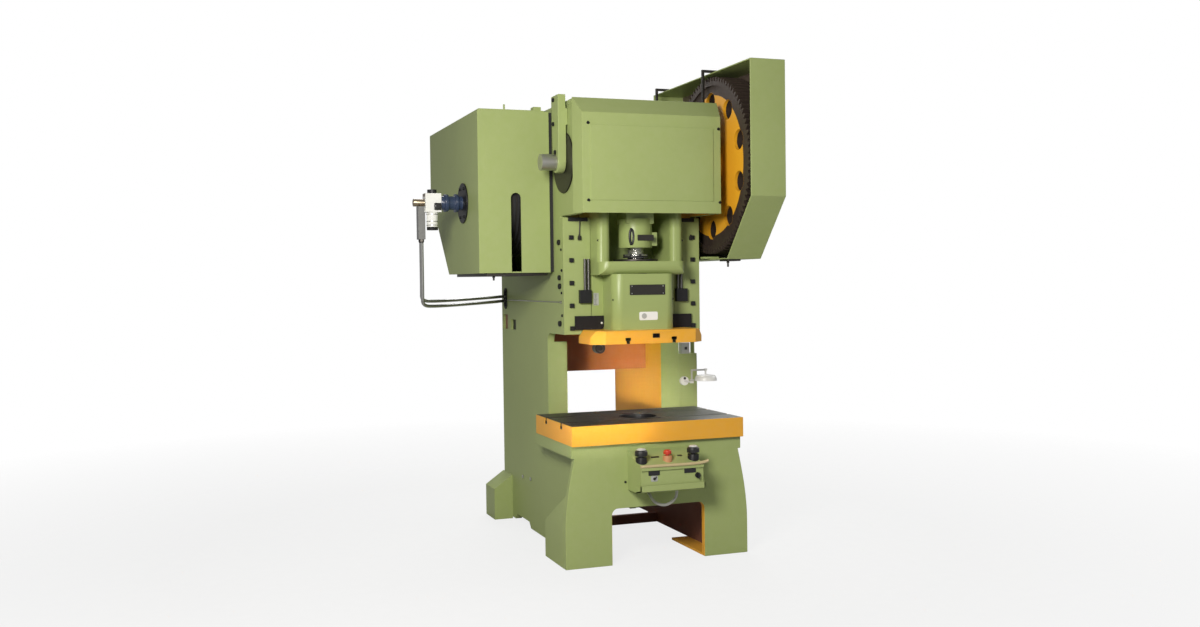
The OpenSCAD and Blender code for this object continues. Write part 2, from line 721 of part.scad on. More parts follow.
// Slide with its lower plate, oil catchers and ball socket
front_r = 60;
socket_r = 120;
seat_depth = 110;
module rounded_front(half_w, y1) {
  translate([-half_w, -slide_front + front_r]) square([2 * half_w, y1 + slide_front - front_r]);
  translate([-half_w + front_r, -slide_front]) square([2 * (half_w - front_r), front_r + 1]);
  for (s = [-1, 1]) translate([s * (half_w - front_r), -slide_front + front_r]) circle(front_r);
}
upright = [pocket_x, slide_w / 2 + 4, 100, 34];
module upright_plan() {
  r = upright[3];
  translate([upright[0], -upright[2] + r]) square([upright[1] - upright[0], slide_face + upright[2] - r]);
  translate([upright[0] + r, -upright[2]]) square([upright[1] - upright[0] - 2 * r, r + 1]);
  for (x = [upright[0] + r, upright[1] - r]) translate([x, -upright[2] + r]) circle(r);
}
back_wall = 45;
bulge_w = 410;
module slide() {
  half = slide_w / 2;
  color(green) press() difference() {
    union() {
      block([-half, slide_face, block_z], [half, fit_y[1], shelf_z]);
      both_sides() {
        block([pocket_x, slide_face, shelf_z], [half, fit_y[1], slide_top]);
        block([half, fit_y[0], block_z], [guide_x - slip, fit_y[1], gib_top - 5]);
        along_z(shelf_z - shelf_t, slide_top) upright_plan();
      }
      block([-pocket_x, fit_y[1] - back_wall, shelf_z], [pocket_x, fit_y[1], slide_top]);
      along_z(block_z, shelf_z - shelf_t + 5) rounded_front(bulge_w / 2, slide_face);
      intersection() {
        along_z(shelf_z - shelf_t, shelf_z) rounded_front(upright[1], slide_face);
        along_x(-upright[1], upright[1]) polygon(concat([[slide_face, shelf_z], [-slide_front, shelf_z]],
          arc([-slide_front + front_r, shelf_z - shelf_t + front_r], front_r, 180, 270), [[slide_face, shelf_z - shelf_t]]));
      }
    }
    along_z(ball_z - seat_depth, shelf_z + 1) circle(socket_r);
  }
}
plate_rear = 250;
plate_corner = 75;
plate_bevel = [30, 42];
plate_step = gib_y - 8;
plate_slot = [[20, 20], [34, 18]];
plate_slot_x = 152;
lock_window = [[10, 34], [56, 60]];
lock_depth = 34;
function mirrored(half) = concat(half, [for (i = [len(half) - 1 : -1 : 0]) [-half[i][0], half[i][1]]]);
module slide_plate() {
  half = plate_w / 2;
  color(amber) press() difference() {
    intersection() {
      along_z(slide_z, block_z) polygon(mirrored([[half - plate_corner, -plate_front], [half, -plate_front + plate_corner],
        [half, plate_step], [slide_w / 2 - 1, plate_step], [slide_w / 2 - 1, plate_rear]]));
      along_y(-plate_front - 1, plate_rear + 1) polygon(mirrored([[half, slide_z - 1], [half, block_z - plate_bevel[1]],
        [half - plate_bevel[0], block_z]]));
    }
    along_z(slide_z - 1, block_z + 1) circle(shank_d / 2);
    for (s = [-1, 1]) along_y(-plate_front - 1, plate_rear + 1)
      translate([s * plate_slot_x, slide_z]) mirror([0, 1, 0]) tslot_profile(plate_slot[0], plate_slot[1]);
    block([lock_window[0][0], -plate_front - 1, slide_z + lock_window[0][1]],
      [lock_window[1][0], -plate_front + lock_depth, slide_z + lock_window[1][1]]);
  }
}
catcher = [205, 395, 16, 86];
module oil_catchers() {
  color(black) press() both_sides()
    block([catcher[0] + 1, slide_face - catcher[2], block_z + 1], [catcher[1], slide_face, block_z + 1 + catcher[3]]);
}
module ball_room() { translate([0, 0, ball_z]) sphere(ball_r + loose); }
module ball_seat() {
  color(bronze) press() difference() {
    along_z(ball_z - seat_depth, ball_z) circle(socket_r - run);
    ball_room();
  }
}
swing = 5.6;
retainer = [140, 14];
module ball_retainer() {
  top = shelf_z + retainer[1];
  color(dark) press() difference() {
    union() {
      along_z(ball_z, shelf_z) circle(socket_r - run);
      along_z(shelf_z, top) circle(retainer[0]);
    }
    ball_room();
    translate([0, 0, ball_z - 1]) cylinder(r1 = screw_r + 4, r2 = screw_r + 6 + (top - ball_z) * tan(swing + 1), h = top - ball_z + 2);
  }
}

// Adjusting screw, rod and crank pin
screw_top = rod_bottom + 242;
collar = [78, 22];
adjust_down = 36;
module ball_screw() {
  color(steel) press() {
    translate([0, 0, ball_z]) sphere(ball_r);
    along_z(ball_z, screw_top) circle(screw_r);
    along_z(rod_bottom - adjust_down - 4 - collar[1], rod_bottom - adjust_down - 4) circle(collar[0]);
  }
}
rod_barrel = 105;
barrel_h = 180;
module connecting_rod() {
  color(green) press() difference() {
    union() {
      along_z(rod_bottom, rod_bottom + barrel_h) circle(min(rod_barrel, rod_half + 15));
      block([40, -58, rod_bottom + 12], [rod_half + 32, 58, rod_bottom + 96]);
      block([-rod_half, -rod_half + 8, rod_bottom + barrel_h - 30], [rod_half, rod_half - 8, pin_z - pin_r - 10]);
      intersection() {
        translate([0, 0, pin_z]) x_bar(-rod_half, rod_half, big_end_r);
        block([-rod_half, -big_end_r, pin_z - big_end_r], [rod_half, big_end_r, pin_z]);
      }
    }
    along_z(rod_bottom - 1, screw_top + adjust_down + 20) circle(screw_r + loose);
    translate([0, 0, pin_z]) x_bar(-rod_half - 1, rod_half + 1, pin_r + run);
  }
}
module rod_cap() {
  color(green) press() difference() {
    union() {
      intersection() {
        translate([0, 0, pin_z]) x_bar(-rod_half, rod_half, big_end_r);
        block([-rod_half, -big_end_r, pin_z], [rod_half, big_end_r, pin_z + big_end_r]);
      }
      for (s = [-1, 1]) block([-rod_half + 15, s * (big_end_r - 18) - 16, pin_z], [rod_half - 15, s * (big_end_r - 18) + 16, pin_z + 70]);
    }
    translate([0, 0, pin_z]) x_bar(-rod_half - 1, rod_half + 1, pin_r + run);
  }
}
module crank_pin() { color(steel) press() translate([0, 0, pin_z]) x_bar(-rod_half - 2, rod_half + 2, pin_r); }

// Two-hand control box on the apron
box_front = -apron_y - box_d;
box_top = bed_bottom + 35;
box_z = [bed_bottom - 185, bed_bottom - 155, bed_bottom - 50];
button_y = box_front + 72;
collar_z = bed_bottom + 7;
stem_r = 12;
selector_at = [162, bed_bottom - 110];
shelf_front = -apron_y - 150;
module button_hole(x) { translate([x, button_y, collar_z - 60]) cylinder(r = stem_r + loose, h = 61); }
module control_box() {
  color(green) press() difference() {
    union() {
      along_x(-box_w / 2, box_w / 2) polygon([[-apron_y, box_top], [box_front, box_z[2]], [box_front, box_z[1]], [-apron_y, box_z[0]]]);
      for (x = [-palm_x, palm_x]) translate([x, button_y, collar_z - 50]) cylinder(r = palm_d / 2 - 4, h = 50);
      translate([0, button_y, collar_z - 50]) cylinder(r = 28, h = 50);
      block([-box_w / 2, box_front - 10, box_z[2] - 14], [box_w / 2, box_front, box_z[2] + 4]);
      block([-box_w / 2, shelf_front, box_z[0] - 20], [box_w / 2, -apron_y, box_z[0] - 10]);
      for (x = [-box_w / 2, box_w / 2 - 8]) block([x, shelf_front, box_z[0] - 10], [x + 8, -apron_y, box_z[1] - 8]);
    }
    for (x = [-palm_x, 0, palm_x]) button_hole(x);
    along_y(box_front - 1, box_front + 30) translate(selector_at) circle(8 + loose);
  }
}
module mushroom(x, r, h) {
  translate([x, button_y, 0]) {
    translate([0, 0, collar_z - 45]) cylinder(r = stem_r, h = 46 + palm_travel);
    translate([0, 0, collar_z + palm_travel + 1]) rotate_extrude()
      polygon(concat([[0, 0], [r, 0], [r, h - 14]], arc([r - 14, h - 14], 14, 0, 90), [[0, h]]));
  }
}
module left_palm_button() { color(black) press() mushroom(-palm_x, palm_d / 2, 34); }
module right_palm_button() { color(black) press() mushroom(palm_x, palm_d / 2, 34); }
module emergency_stop() { color("#c43a2a") press() mushroom(0, 24, 26); }
module selector_switch() {
  color(black) press() {
    along_y(box_front - 1, box_front + 26) translate(selector_at) circle(8);
    along_y(box_front - 9, box_front - 1) translate(selector_at) circle(17);
    block([selector_at[0] - 4, box_front - 24, selector_at[1] - 17], [selector_at[0] + 4, box_front - 9, selector_at[1] + 17]);
  }
}
conduit_r = 9;
module conduit_loop() {
  color("silver") press() swept_tube(smooth([[80, shelf_front + 60, box_z[0] - 20], [80, shelf_front + 60, box_z[0] - 50],
    [70, shelf_front + 65, 385], [20, shelf_front + 75, 350], [-40, shelf_front + 90, 362], [-66, -apron_y - 42, 395],
    [-66, -apron_y - 20, 415], [-66, -apron_y, 415]], 2), conduit_r);
}

// Electrical cabinet with its riser, the lamp and its switch box
cabinet = [side_x, side_x + 134, throat_d, 900, bed_top + 5, 1205];
module electrical_cabinet() {
  color(green) press() {
    block([cabinet[0], cabinet[2], cabinet[4]], [cabinet[1], cabinet[3], cabinet[5]]);
    block([cabinet[0] + 8, cabinet[2] - 4, cabinet[4] + 20], [cabinet[1] - 6, cabinet[2], cabinet[5] - 16]);
    translate([cabinet[1] - 18, cabinet[2] + 30, cabinet[5]]) cylinder(r = 14, h = guard_bottom - cabinet[5]);
  }
}
module lamp_switch_box() {
  color("lightgray") press() {
    block([cabinet[0] + 22, cabinet[2], cabinet[5]], [cabinet[0] + 82, cabinet[2] + 48, cabinet[5] + 74]);
    block([cabinet[0] + 40, cabinet[2] - 5, cabinet[5] + 24], [cabinet[0] + 64, cabinet[2], cabinet[5] + 50]);
  }
}
lamp = [side_x + 32, throat_d - 4, 1028];
lamp_disc = [30, 22];
knuckle = [14, 12];
arm_len = 102;
arm_rise = 74;
arm_r = 6;
lamp_reach = 134;
pivot_y = lamp[1] - lamp_reach;
module lamp_base() {
  color("white") press() {
    along_y(lamp[1] - lamp_disc[1], lamp[1]) translate([lamp[0], lamp[2] - knuckle[1] / 2]) circle(lamp_disc[0]);
    along_y(pivot_y, lamp[1]) translate([lamp[0], lamp[2] - knuckle[1] / 2]) circle(arm_r - 1);
    translate([lamp[0], pivot_y, lamp[2] - knuckle[1]]) cylinder(r = knuckle[0], h = knuckle[1]);
  }
}
shade_x = lamp[0] + arm_len;
shade_z = lamp[2] + arm_rise;
module lamp_arm() {
  color("silver") press() {
    translate([lamp[0], pivot_y, lamp[2] + loose]) cylinder(r = knuckle[0], h = knuckle[1]);
    translate([lamp[0], pivot_y, lamp[2] + loose]) cylinder(r = arm_r, h = arm_rise - loose);
    translate([lamp[0], pivot_y, shade_z]) sphere(arm_r);
    translate([0, pivot_y, shade_z]) x_bar(lamp[0], shade_x - 9 - loose, arm_r);
  }
}
bowl = [20, 28, 3];
bowl_drop = 32;
module lamp_shade() {
  r = shade_d / 2 - bowl[0];
  color("white") press() translate([shade_x, pivot_y, shade_z]) {
    x_bar(-9, 9, arm_r + 2);
    translate([0, 0, -bowl_drop]) cylinder(r = arm_r, h = bowl_drop);
    translate([0, 0, -bowl_drop - bowl[1] - 12]) rotate_extrude() polygon(concat([[0, bowl[1] + 12], [bowl[0], bowl[1] + 12]],
      arc([bowl[0], 0], r, 38, 0), arc([bowl[0], 0], r - bowl[2], 0, 38), [[bowl[0], bowl[1] + 12 - bowl[2]], [0, bowl[1] + 12 - bowl[2]]]));
    translate([0, 0, -bowl_drop - 22]) sphere(24);
  }
}

left_side_frame();
right_side_frame();
front_apron();
bed_plate();
bolster_plate();
throat_web();
rear_plates();
foot_tie();
foot_plates();
crown_plate();
head_cover();
outboard_arm();
main_bushes();
left_guide();
right_guide();
left_front_gib();
right_front_gib();
gib_bolts();
stop_rods();
stop_blocks();
flywheel_cover();
cover_lid();
cover_brackets();
gear_guard();
guard_stays();
pinion_bearings();
rotary_union();
air_valve();
air_lines();
motor();
motor_base();
drive_belts();
control_box();
conduit_loop();
electrical_cabinet();
lamp_switch_box();
lamp_base();
crankshaft();
bull_gear();
crank_disc();
pinion_shaft();
drive_pinion();
clutch();
flywheel();
motor_pulley();
slide();
slide_plate();
oil_catchers();
ball_seat();
ball_retainer();
ball_screw();
connecting_rod();
rod_cap();
crank_pin();
left_palm_button();
right_palm_button();
emergency_stop();
selector_switch();
lamp_arm();
lamp_shade();
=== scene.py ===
# %% [markdown]
# # A mechanical stamping press
# The press is a C-frame of thick welded plates. A crank in its head drives a slide down over a bolster.
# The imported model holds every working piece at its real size, so this lesson adds only looks: the finish
# of each surface, eased edges, and the screws, plates and trim that are too small to matter to motion.

# %% Load the frame
import json
import math

import bmesh
import bpy
from mathutils import Matrix, Vector
from mathutils.bvhtree import BVHTree


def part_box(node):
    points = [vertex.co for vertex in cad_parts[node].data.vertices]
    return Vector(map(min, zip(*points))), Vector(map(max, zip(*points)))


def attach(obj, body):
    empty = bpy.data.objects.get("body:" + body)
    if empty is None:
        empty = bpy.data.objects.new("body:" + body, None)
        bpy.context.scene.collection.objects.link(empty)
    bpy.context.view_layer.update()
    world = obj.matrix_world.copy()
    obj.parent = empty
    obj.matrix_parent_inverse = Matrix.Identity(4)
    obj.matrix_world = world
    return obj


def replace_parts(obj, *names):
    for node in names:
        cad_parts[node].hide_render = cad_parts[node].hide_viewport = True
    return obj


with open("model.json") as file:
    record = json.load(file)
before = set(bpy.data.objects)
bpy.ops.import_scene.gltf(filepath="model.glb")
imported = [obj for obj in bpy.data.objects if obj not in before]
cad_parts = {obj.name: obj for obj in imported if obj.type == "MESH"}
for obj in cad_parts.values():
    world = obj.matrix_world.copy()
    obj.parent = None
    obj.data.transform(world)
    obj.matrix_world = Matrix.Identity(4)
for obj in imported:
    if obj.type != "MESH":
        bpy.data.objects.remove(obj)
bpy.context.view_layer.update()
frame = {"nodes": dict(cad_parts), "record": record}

# %% [markdown]
# Everything on a press is laid out from the ram axis, the line that the slide moves along. The bolster is
# centred on it, so its box gives the axis. A point is then written in millimetres to the right of the
# axis, behind it, and above the floor, which is how the machine's own drawing would give it.

# %% Measure from the ram axis
MM = 0.001
bolster_low, bolster_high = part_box("bolster_plate")
RAM = (bolster_low + bolster_high) / 2


def at(x, y, z):
    """A point in millimetres right of the ram axis, behind it and above the floor."""
    return Vector((RAM.x + x * MM, RAM.y + y * MM, z * MM))


def edge(node, side):
    """Where one side of a node lies, in the same millimetres: x0, x1, y0, y1, z0 or z1."""
    axis = "xyz".index(side[0])
    origin = (RAM.x, RAM.y, 0)[axis]
    return (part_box(node)[int(side[1])][axis] - origin) / MM


def edges(node):
    """All six sides of a node by name."""
    return {side: edge(node, side) for side in ("x0", "x1", "y0", "y1", "z0", "z1")}


def plane(node, side):
    """Where one side of a node lies, in metres, which is what a finish works in."""
    return edge(node, side) * MM


print("ram axis at", [round(v, 4) for v in RAM[:2]])

# %% [markdown]
# The camera stands in front of the press and to its left, at about the height of the slide. Its place and
# angles were fitted to straight edges of the machine. The matrix is built from the three directions that
# lie to the camera's right, above it and ahead of it, which is plainer than chaining rotations.

# %% Set up the camera
EYE = at(-2762, -6867, 1703)
YAW, PITCH, ROLL = (math.radians(a) for a in (20.14, -1.58, -0.74))
LENS, SENSOR = 35.25, 36
ahead = Vector((math.sin(YAW) * math.cos(PITCH), math.cos(YAW) * math.cos(PITCH), math.sin(PITCH)))
level = Vector((math.cos(YAW), -math.sin(YAW), 0))
upright = level.cross(ahead)
right = level * math.cos(ROLL) + upright * math.sin(ROLL)
above = upright * math.cos(ROLL) - level * math.sin(ROLL)
camera = bpy.data.objects.new("camera", bpy.data.cameras.new("camera"))
camera.data.lens = LENS
camera.data.sensor_width = SENSOR
camera.matrix_world = Matrix.Translation(EYE) @ Matrix((right, above, -ahead)).transposed().to_4x4()
bpy.context.scene.collection.objects.link(camera)
bpy.context.scene.camera = camera
bpy.context.scene.view_settings.view_transform = "Standard"
print("camera at", [round(v, 3) for v in EYE])

# %% [markdown]
# A surface finish is a small network of shader nodes. Wiring it by hand hides the idea, so a socket is
# wrapped in a class whose operators add Math nodes: `1 - mask` then reads as the arithmetic it is. Every
# other node comes from one method, which takes the node's type, its settings and what its sockets get.


# %% Write shader maths as expressions
class Wire:
    """One output of a shader node, with arithmetic that adds Math nodes."""

    def __init__(self, finish, socket):
        self.finish = finish
        self.socket = socket

    def math(self, operation, *values):
        return self.finish.node("ShaderNodeMath", {"operation": operation}, dict(enumerate(values)))

    def __add__(self, other):
        return self.math("ADD", self, other)

    def __radd__(self, other):
        return self.math("ADD", other, self)

    def __sub__(self, other):
        return self.math("SUBTRACT", self, other)

    def __rsub__(self, other):
        return self.math("SUBTRACT", other, self)

    def __mul__(self, other):
        return self.math("MULTIPLY", self, other)

    def __rmul__(self, other):
        return self.math("MULTIPLY", other, self)

    def __gt__(self, other):
        return self.math("GREATER_THAN", self, other)

    def __lt__(self, other):
        return self.math("LESS_THAN", self, other)

    def __abs__(self):
        return self.math("ABSOLUTE", self)

    def root(self):
        return self.math("SQRT", self)

    def either(self, other):
        return self.math("MAXIMUM", self, other)


# The Mix node repeats its socket names for each type, so its colour sockets go by number
MIX_SHARE, MIX_FIRST, MIX_SECOND, MIX_RESULT = 0, 6, 7, 2


class Finish:
    """A material under construction."""

    def __init__(self, name):
        self.material = bpy.data.materials.new(name)
        self.material.use_nodes = True
        self.tree = self.material.node_tree
        self.shader = self.tree.nodes["Principled BSDF"]

    def put(self, socket, value):
        if isinstance(value, Wire):
            self.tree.links.new(value.socket, socket)
        else:
            socket.default_value = value

    def node(self, kind, settings=None, sockets=None, out=0):
        made = self.tree.nodes.new(kind)
        for name, value in (settings or {}).items():
            setattr(made, name, value)
        for name, value in (sockets or {}).items():
            self.put(made.inputs[name], value)
        return Wire(self, made.outputs[out])

    def place(self):
        return self.node("ShaderNodeTexCoord", out="Object")

    def facing(self):
        return self.node("ShaderNodeTexCoord", out="Normal")

    def part(self, vector, axis):
        return self.node("ShaderNodeSeparateXYZ", None, {0: vector}, axis)

    def stretch(self, vector, scale):
        return self.node("ShaderNodeVectorMath", {"operation": "MULTIPLY"}, {0: vector, 1: scale})

    def noise(self, scale, detail=2.0, grain=(1, 1, 1)):
        where = self.stretch(self.place(), grain)
        return self.node("ShaderNodeTexNoise", None, {"Vector": where, "Scale": scale, "Detail": detail})

    def blend(self, share, first, second):
        colours = {MIX_SHARE: share, MIX_FIRST: first, MIX_SECOND: second}
        return self.node("ShaderNodeMix", {"data_type": "RGBA"}, colours, MIX_RESULT)

    def surface(self, coat, **constants):
        for name, key in (("Base Color", "colour"), ("Roughness", "rough"), ("Metallic", "metal")):
            self.put(self.shader.inputs[name], coat[key])
        for name, value in constants.items():
            self.shader.inputs[name.replace("_", " ")].default_value = value
        relief = {"Strength": 1.0, "Distance": MM, "Height": coat["height"]}
        self.put(self.shader.inputs["Normal"], self.node("ShaderNodeBump", None, relief))
        return self.material


print("finish tools ready")

# %% [markdown]
# A coat is what lies on the metal: its colour, gloss, metal share, and tiny relief in millimetres. Sprayed
# paint drifts a little in shade from plate to plate and has the soft dimples called orange peel. Turned or
# ground steel has fine lines along the cut. Castings are coarser, and moulded plastic has an even fine
# grain. Each coat is a function of the finish it is laid on, so one material can hold two of them.

# %% Define the coats
DUST = (0.62, 0.60, 0.50)


def tone(colour, share=1.0):
    """A colour made lighter or darker by a share, as the four numbers that a socket takes."""
    return tuple(min(1.0, c * share) for c in colour) + (1.0,)


def shades(f, share, colour, dark, light):
    """A colour that runs from a darker shade of itself to a lighter one."""
    return f.blend(share, tone(colour, dark), tone(colour, light))


def vary(middle, spread, noise):
    """A value that a noise moves by up to half the spread to each side."""
    return middle + spread * (noise - 0.5)


def paint_coat(f, colour, rough=0.42):
    patch = f.noise(scale=1.7, detail=4.0)
    dimple = f.noise(scale=260.0)
    dust = f.noise(scale=24.0, detail=6.0)
    dusty = f.blend(0.10 * dust, shades(f, patch, colour, dark=0.90, light=1.08), tone(DUST))
    gloss = vary(rough, spread=0.16, noise=dust)
    return {"colour": dusty, "rough": gloss, "metal": 0.0, "height": 0.05 * dimple}


def cast_coat(f, colour, rough=0.5):
    patch = f.noise(scale=3.0, detail=4.0)
    lump = f.noise(scale=70.0, detail=5.0)
    sand = f.noise(scale=420.0, detail=3.0)
    shade = shades(f, patch, colour, dark=0.90, light=1.08)
    relief = 0.4 * lump + 0.08 * sand
    gloss = vary(rough, spread=0.2, noise=sand)
    return {"colour": shade, "rough": gloss, "metal": 0.0, "height": relief}


def steel_coat(f, colour, rough=0.36, grain=(1, 1, 1), lines=220.0):
    scratch = f.noise(scale=lines, detail=6.0, grain=grain)
    stain = f.noise(scale=7.0, detail=5.0)
    shade = shades(f, 0.6 * stain + 0.4 * scratch, colour, dark=0.72, light=1.22)
    gloss = vary(rough, spread=0.22, noise=scratch)
    return {"colour": shade, "rough": gloss, "metal": 0.9, "height": 0.05 * scratch}


def oxide_coat(f, colour, rough=0.45):
    grain = f.noise(scale=300.0, detail=4.0)
    worn = f.noise(scale=38.0, detail=6.0)
    shade = shades(f, worn, colour, dark=0.7, light=1.6)
    gloss = vary(rough, spread=0.25, noise=grain)
    return {"colour": shade, "rough": gloss, "metal": 0.5, "height": 0.06 * grain}


def plastic_coat(f, colour, rough=0.4):
    grain = f.noise(scale=700.0)
    patch = f.noise(scale=12.0, detail=3.0)
    shade = shades(f, patch, colour, dark=0.88, light=1.10)
    gloss = vary(rough, spread=0.15, noise=grain)
    return {"colour": shade, "rough": gloss, "metal": 0.0, "height": 0.05 * grain}


def between(mask, under, over):
    """One value where the mask is 0 and another where it is 1. A number that both share stays a number."""
    return under if under == over else under + mask * (over - under)


def two_coats(f, mask, under, over):
    """The coat named over where the mask is 1, and the one named under elsewhere."""
    mixed = {key: between(mask, under[key], over[key]) for key in ("rough", "metal", "height")}
    return {"colour": f.blend(mask, under["colour"], over["colour"]), **mixed}


print("coats: paint, casting, steel, oxide, plastic")

# %% [markdown]
# The shop paints this press sage green outside and amber where a hand must not go: the bolster, the slide
# plate, the gear, and the inner faces of the frame. The colours below are what the paint would show in
# even light. Shop paint shines less than plastic, so its specular level is set lower.

# %% Mix the plain finishes
SAGE = (0.333, 0.405, 0.144)
AMBER = (0.83, 0.395, 0.022)
# Painted shade: a dark brown that stands for the shadow under the bed, on the foot tie and in a window.
SHADE_BROWN = (0.230, 0.088, 0.066)
# Painted shade: the throat web's amber made redder and darker, as it looks in the shadow of the head.
SHADED_TERRACOTTA = (0.48, 0.145, 0.036)
BEIGE = (0.52, 0.42, 0.22)
STEEL = (0.50, 0.49, 0.46)
DARK_STEEL = (0.060, 0.055, 0.050)
OXIDE = (0.016, 0.016, 0.017)
BRONZE = (0.50, 0.30, 0.12)
ZINC = (0.55, 0.55, 0.53)
WHITE = (0.88, 0.88, 0.86)
BLACK = (0.014, 0.014, 0.015)
WARM_BLACK = (0.018, 0.016, 0.017)
RED = (0.58, 0.045, 0.022)
CONDUIT_GREY = (0.46, 0.46, 0.43)
PLASTIC_GREY = (0.42, 0.43, 0.41)
# Painted highlight: the pale grey of the palm buttons' crowns.
HIGHLIGHT_GREY = (0.62, 0.62, 0.60)
PIPE_BLACK = (0.13, 0.125, 0.12)
PIPE_GREY = (0.42, 0.42, 0.41)
SHOP_GLOSS = {"Specular_IOR_Level": 0.25}


def plain(name, coat, *values, **constants):
    """A finish with one coat all over."""
    f = Finish(name)
    return f.surface(coat(f, *values), **constants)


FINISH = {
    "green_paint": plain("sage_paint", paint_coat, SAGE, **SHOP_GLOSS),
    "amber_paint": plain("amber_paint", paint_coat, AMBER, **SHOP_GLOSS),
    "machined_steel": plain("machined_steel", steel_coat, STEEL),
    "dark_steel": plain("dark_steel", steel_coat, DARK_STEEL, 0.45),
    "black_oxide": plain("black_oxide", oxide_coat, OXIDE),
    "bronze": plain("bronze", steel_coat, BRONZE, 0.38),
    "belt_rubber": plain("belt_rubber", plastic_coat, BLACK, 0.75),
    "zinc_alloy": plain("zinc_alloy", steel_coat, ZINC, 0.34),
    "grey_conduit": plain("grey_conduit", plastic_coat, CONDUIT_GREY, 0.42),
    "white_enamel": plain("white_enamel", plastic_coat, WHITE, 0.24, Coat_Weight=0.3),
    "grey_plastic": plain("grey_plastic", plastic_coat, PLASTIC_GREY, 0.45),
    "black_plastic": plain("black_plastic", plastic_coat, BLACK, 0.36),
    "red_plastic": plain("red_plastic", plastic_coat, RED, 0.32),
}
CAST_SAGE = plain("cast_sage", cast_coat, SAGE, 0.36, Specular_IOR_Level=0.42)
# Brown paint that is painted shade, for the foot tie and the rear window plate.
SHADE_BROWN_PAINT = plain("painted_shade_brown", paint_coat, SHADE_BROWN, **SHOP_GLOSS)
WEB_SHADE_PAINT = plain("web_painted_shade", paint_coat, SHADED_TERRACOTTA, **SHOP_GLOSS)
BEIGE_TRIM = plain("beige_trim", paint_coat, BEIGE, 0.5)
CATCHER_PAINT = plain("catcher_paint", plastic_coat, WARM_BLACK, 0.5, Specular_IOR_Level=0.15)
HIGHLIGHT_CROWN = plain("painted_highlight_crown", plastic_coat, HIGHLIGHT_GREY, 0.3)
DARK_PIPE = plain("dark_pipe", steel_coat, PIPE_BLACK, 0.34)
GREY_PIPE = plain("grey_pipe", steel_coat, PIPE_GREY, 0.34)
print("finishes by slot:", len(FINISH))

# %% [markdown]
# Some pieces wear two finishes. On the side plates a face that looks towards the ram axis is amber above
# the bed and dark brown below it, a brown that is painted shade, and the rest is green, so the mask is
# the sign of the face's direction times the side that it lies on. The bolster is amber round its rim and
# bare ground steel on top, which a painted reflection makes lighter towards its right end.

# %% Mix the frame and bolster finishes
FACING = 0.5


def spot(f):
    """The three parts of a point's place, counted from the ram axis, in metres."""
    where = f.place()
    return f.part(where, "X") - RAM.x, f.part(where, "Y") - RAM.y, f.part(where, "Z")


def inward(f):
    """1 on faces that look towards the ram axis."""
    x = spot(f)[0]
    return f.part(f.facing(), "X") * x.math("SIGN", x) < -FACING


def ramp(value, low, high):
    """0 up to the low value, 1 from the high one, and even steps between."""
    limits = {"Value": value, "From Min": low, "From Max": high}
    return value.finish.node("ShaderNodeMapRange", None, limits)


def reach_of(across, up):
    """How far a point lies from an axis."""
    return (across * across + up * up).root()


def side_finish():
    f = Finish("side_plate_paint")
    # Inner faces below the bed are brown as painted shade; above the bed they are amber paint.
    below = spot(f)[2] < plane("bed_plate", "z0")
    inner = two_coats(f, below, paint_coat(f, AMBER), paint_coat(f, SHADE_BROWN))
    return f.surface(two_coats(f, inward(f), paint_coat(f, SAGE), inner), **SHOP_GLOSS)


def apron_finish():
    f = Finish("apron_paint")
    return f.surface(two_coats(f, inward(f), paint_coat(f, SAGE), paint_coat(f, AMBER)), **SHOP_GLOSS)


RIM_DEPTH, TOP_DEPTH = 4 * MM, 0.4 * MM
DIE_WALL = 0.170
# The pale ground and its ramp along the top are a painted reflection that lightens the right end.
DARK_GROUND, SHEEN_GROUND = (0.052, 0.048, 0.041), (0.190, 0.195, 0.180)
GROUND_METAL = 0.35
SHEEN_START_X, SHEEN_FULL_X, SHEEN_DRIFT = -0.35, 0.55, 0.25
bolster_half = (bolster_high - bolster_low) / 2


def bolster_finish():
    f = Finish("bolster_two_tone")
    x, y, z = spot(f)
    low = z < bolster_high.z - TOP_DEPTH
    rim = (abs(x) > bolster_half.x - RIM_DEPTH).either(abs(y) > bolster_half.y - RIM_DEPTH) * low
    hole = (reach_of(x, y) < DIE_WALL) * low
    # Painted reflection: the top runs from its dark ground on the left to a pale grey on the right.
    painted_sheen = ramp(vary(x, SHEEN_DRIFT, f.noise(scale=4.0, detail=4.0)), SHEEN_START_X, SHEEN_FULL_X)
    ground = steel_coat(f, DARK_GROUND, 0.50, grain=(0.3, 1, 1), lines=260.0)
    ground["colour"] = f.blend(painted_sheen, ground["colour"], tone(SHEEN_GROUND))
    ground["metal"] = GROUND_METAL
    top = two_coats(f, hole, ground, oxide_coat(f, OXIDE))
    return f.surface(two_coats(f, rim, top, paint_coat(f, AMBER, 0.40)), **SHOP_GLOSS)


SIDE_PAINT = side_finish()
APRON_PAINT = apron_finish()
BOLSTER_PAINT = bolster_finish()
print("two-tone finishes: side plates, apron, bolster")

# %% [markdown]
# The gear is amber on its web and dark and oily beyond. The walls of its ten holes are amber at the mouth
# and black deeper in, a black that is painted shade for the dark seen through the holes. To find them the
# angle round the shaft is folded into one tenth of a turn, so that all ten become one. The slide plate is
# amber with dark slots, and the guard is dark brown on the inner face of its outer wall.

# %% Mix the gear, slide plate and guard finishes
gear_low, gear_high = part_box("bull_gear")
GEAR_AXIS = (gear_low + gear_high) / 2
WEB_RADIUS = 0.449
HOLES, HOLE_RING, HOLE_RADIUS = 10, 0.408, 0.0626
WEB_SET_BACK, AMBER_MOUTH = 0.027, 0.020
# Dark oil on the rim, and painted shade in the depth of the holes.
GEAR_OIL_AND_SHADE = (0.062, 0.044, 0.036)


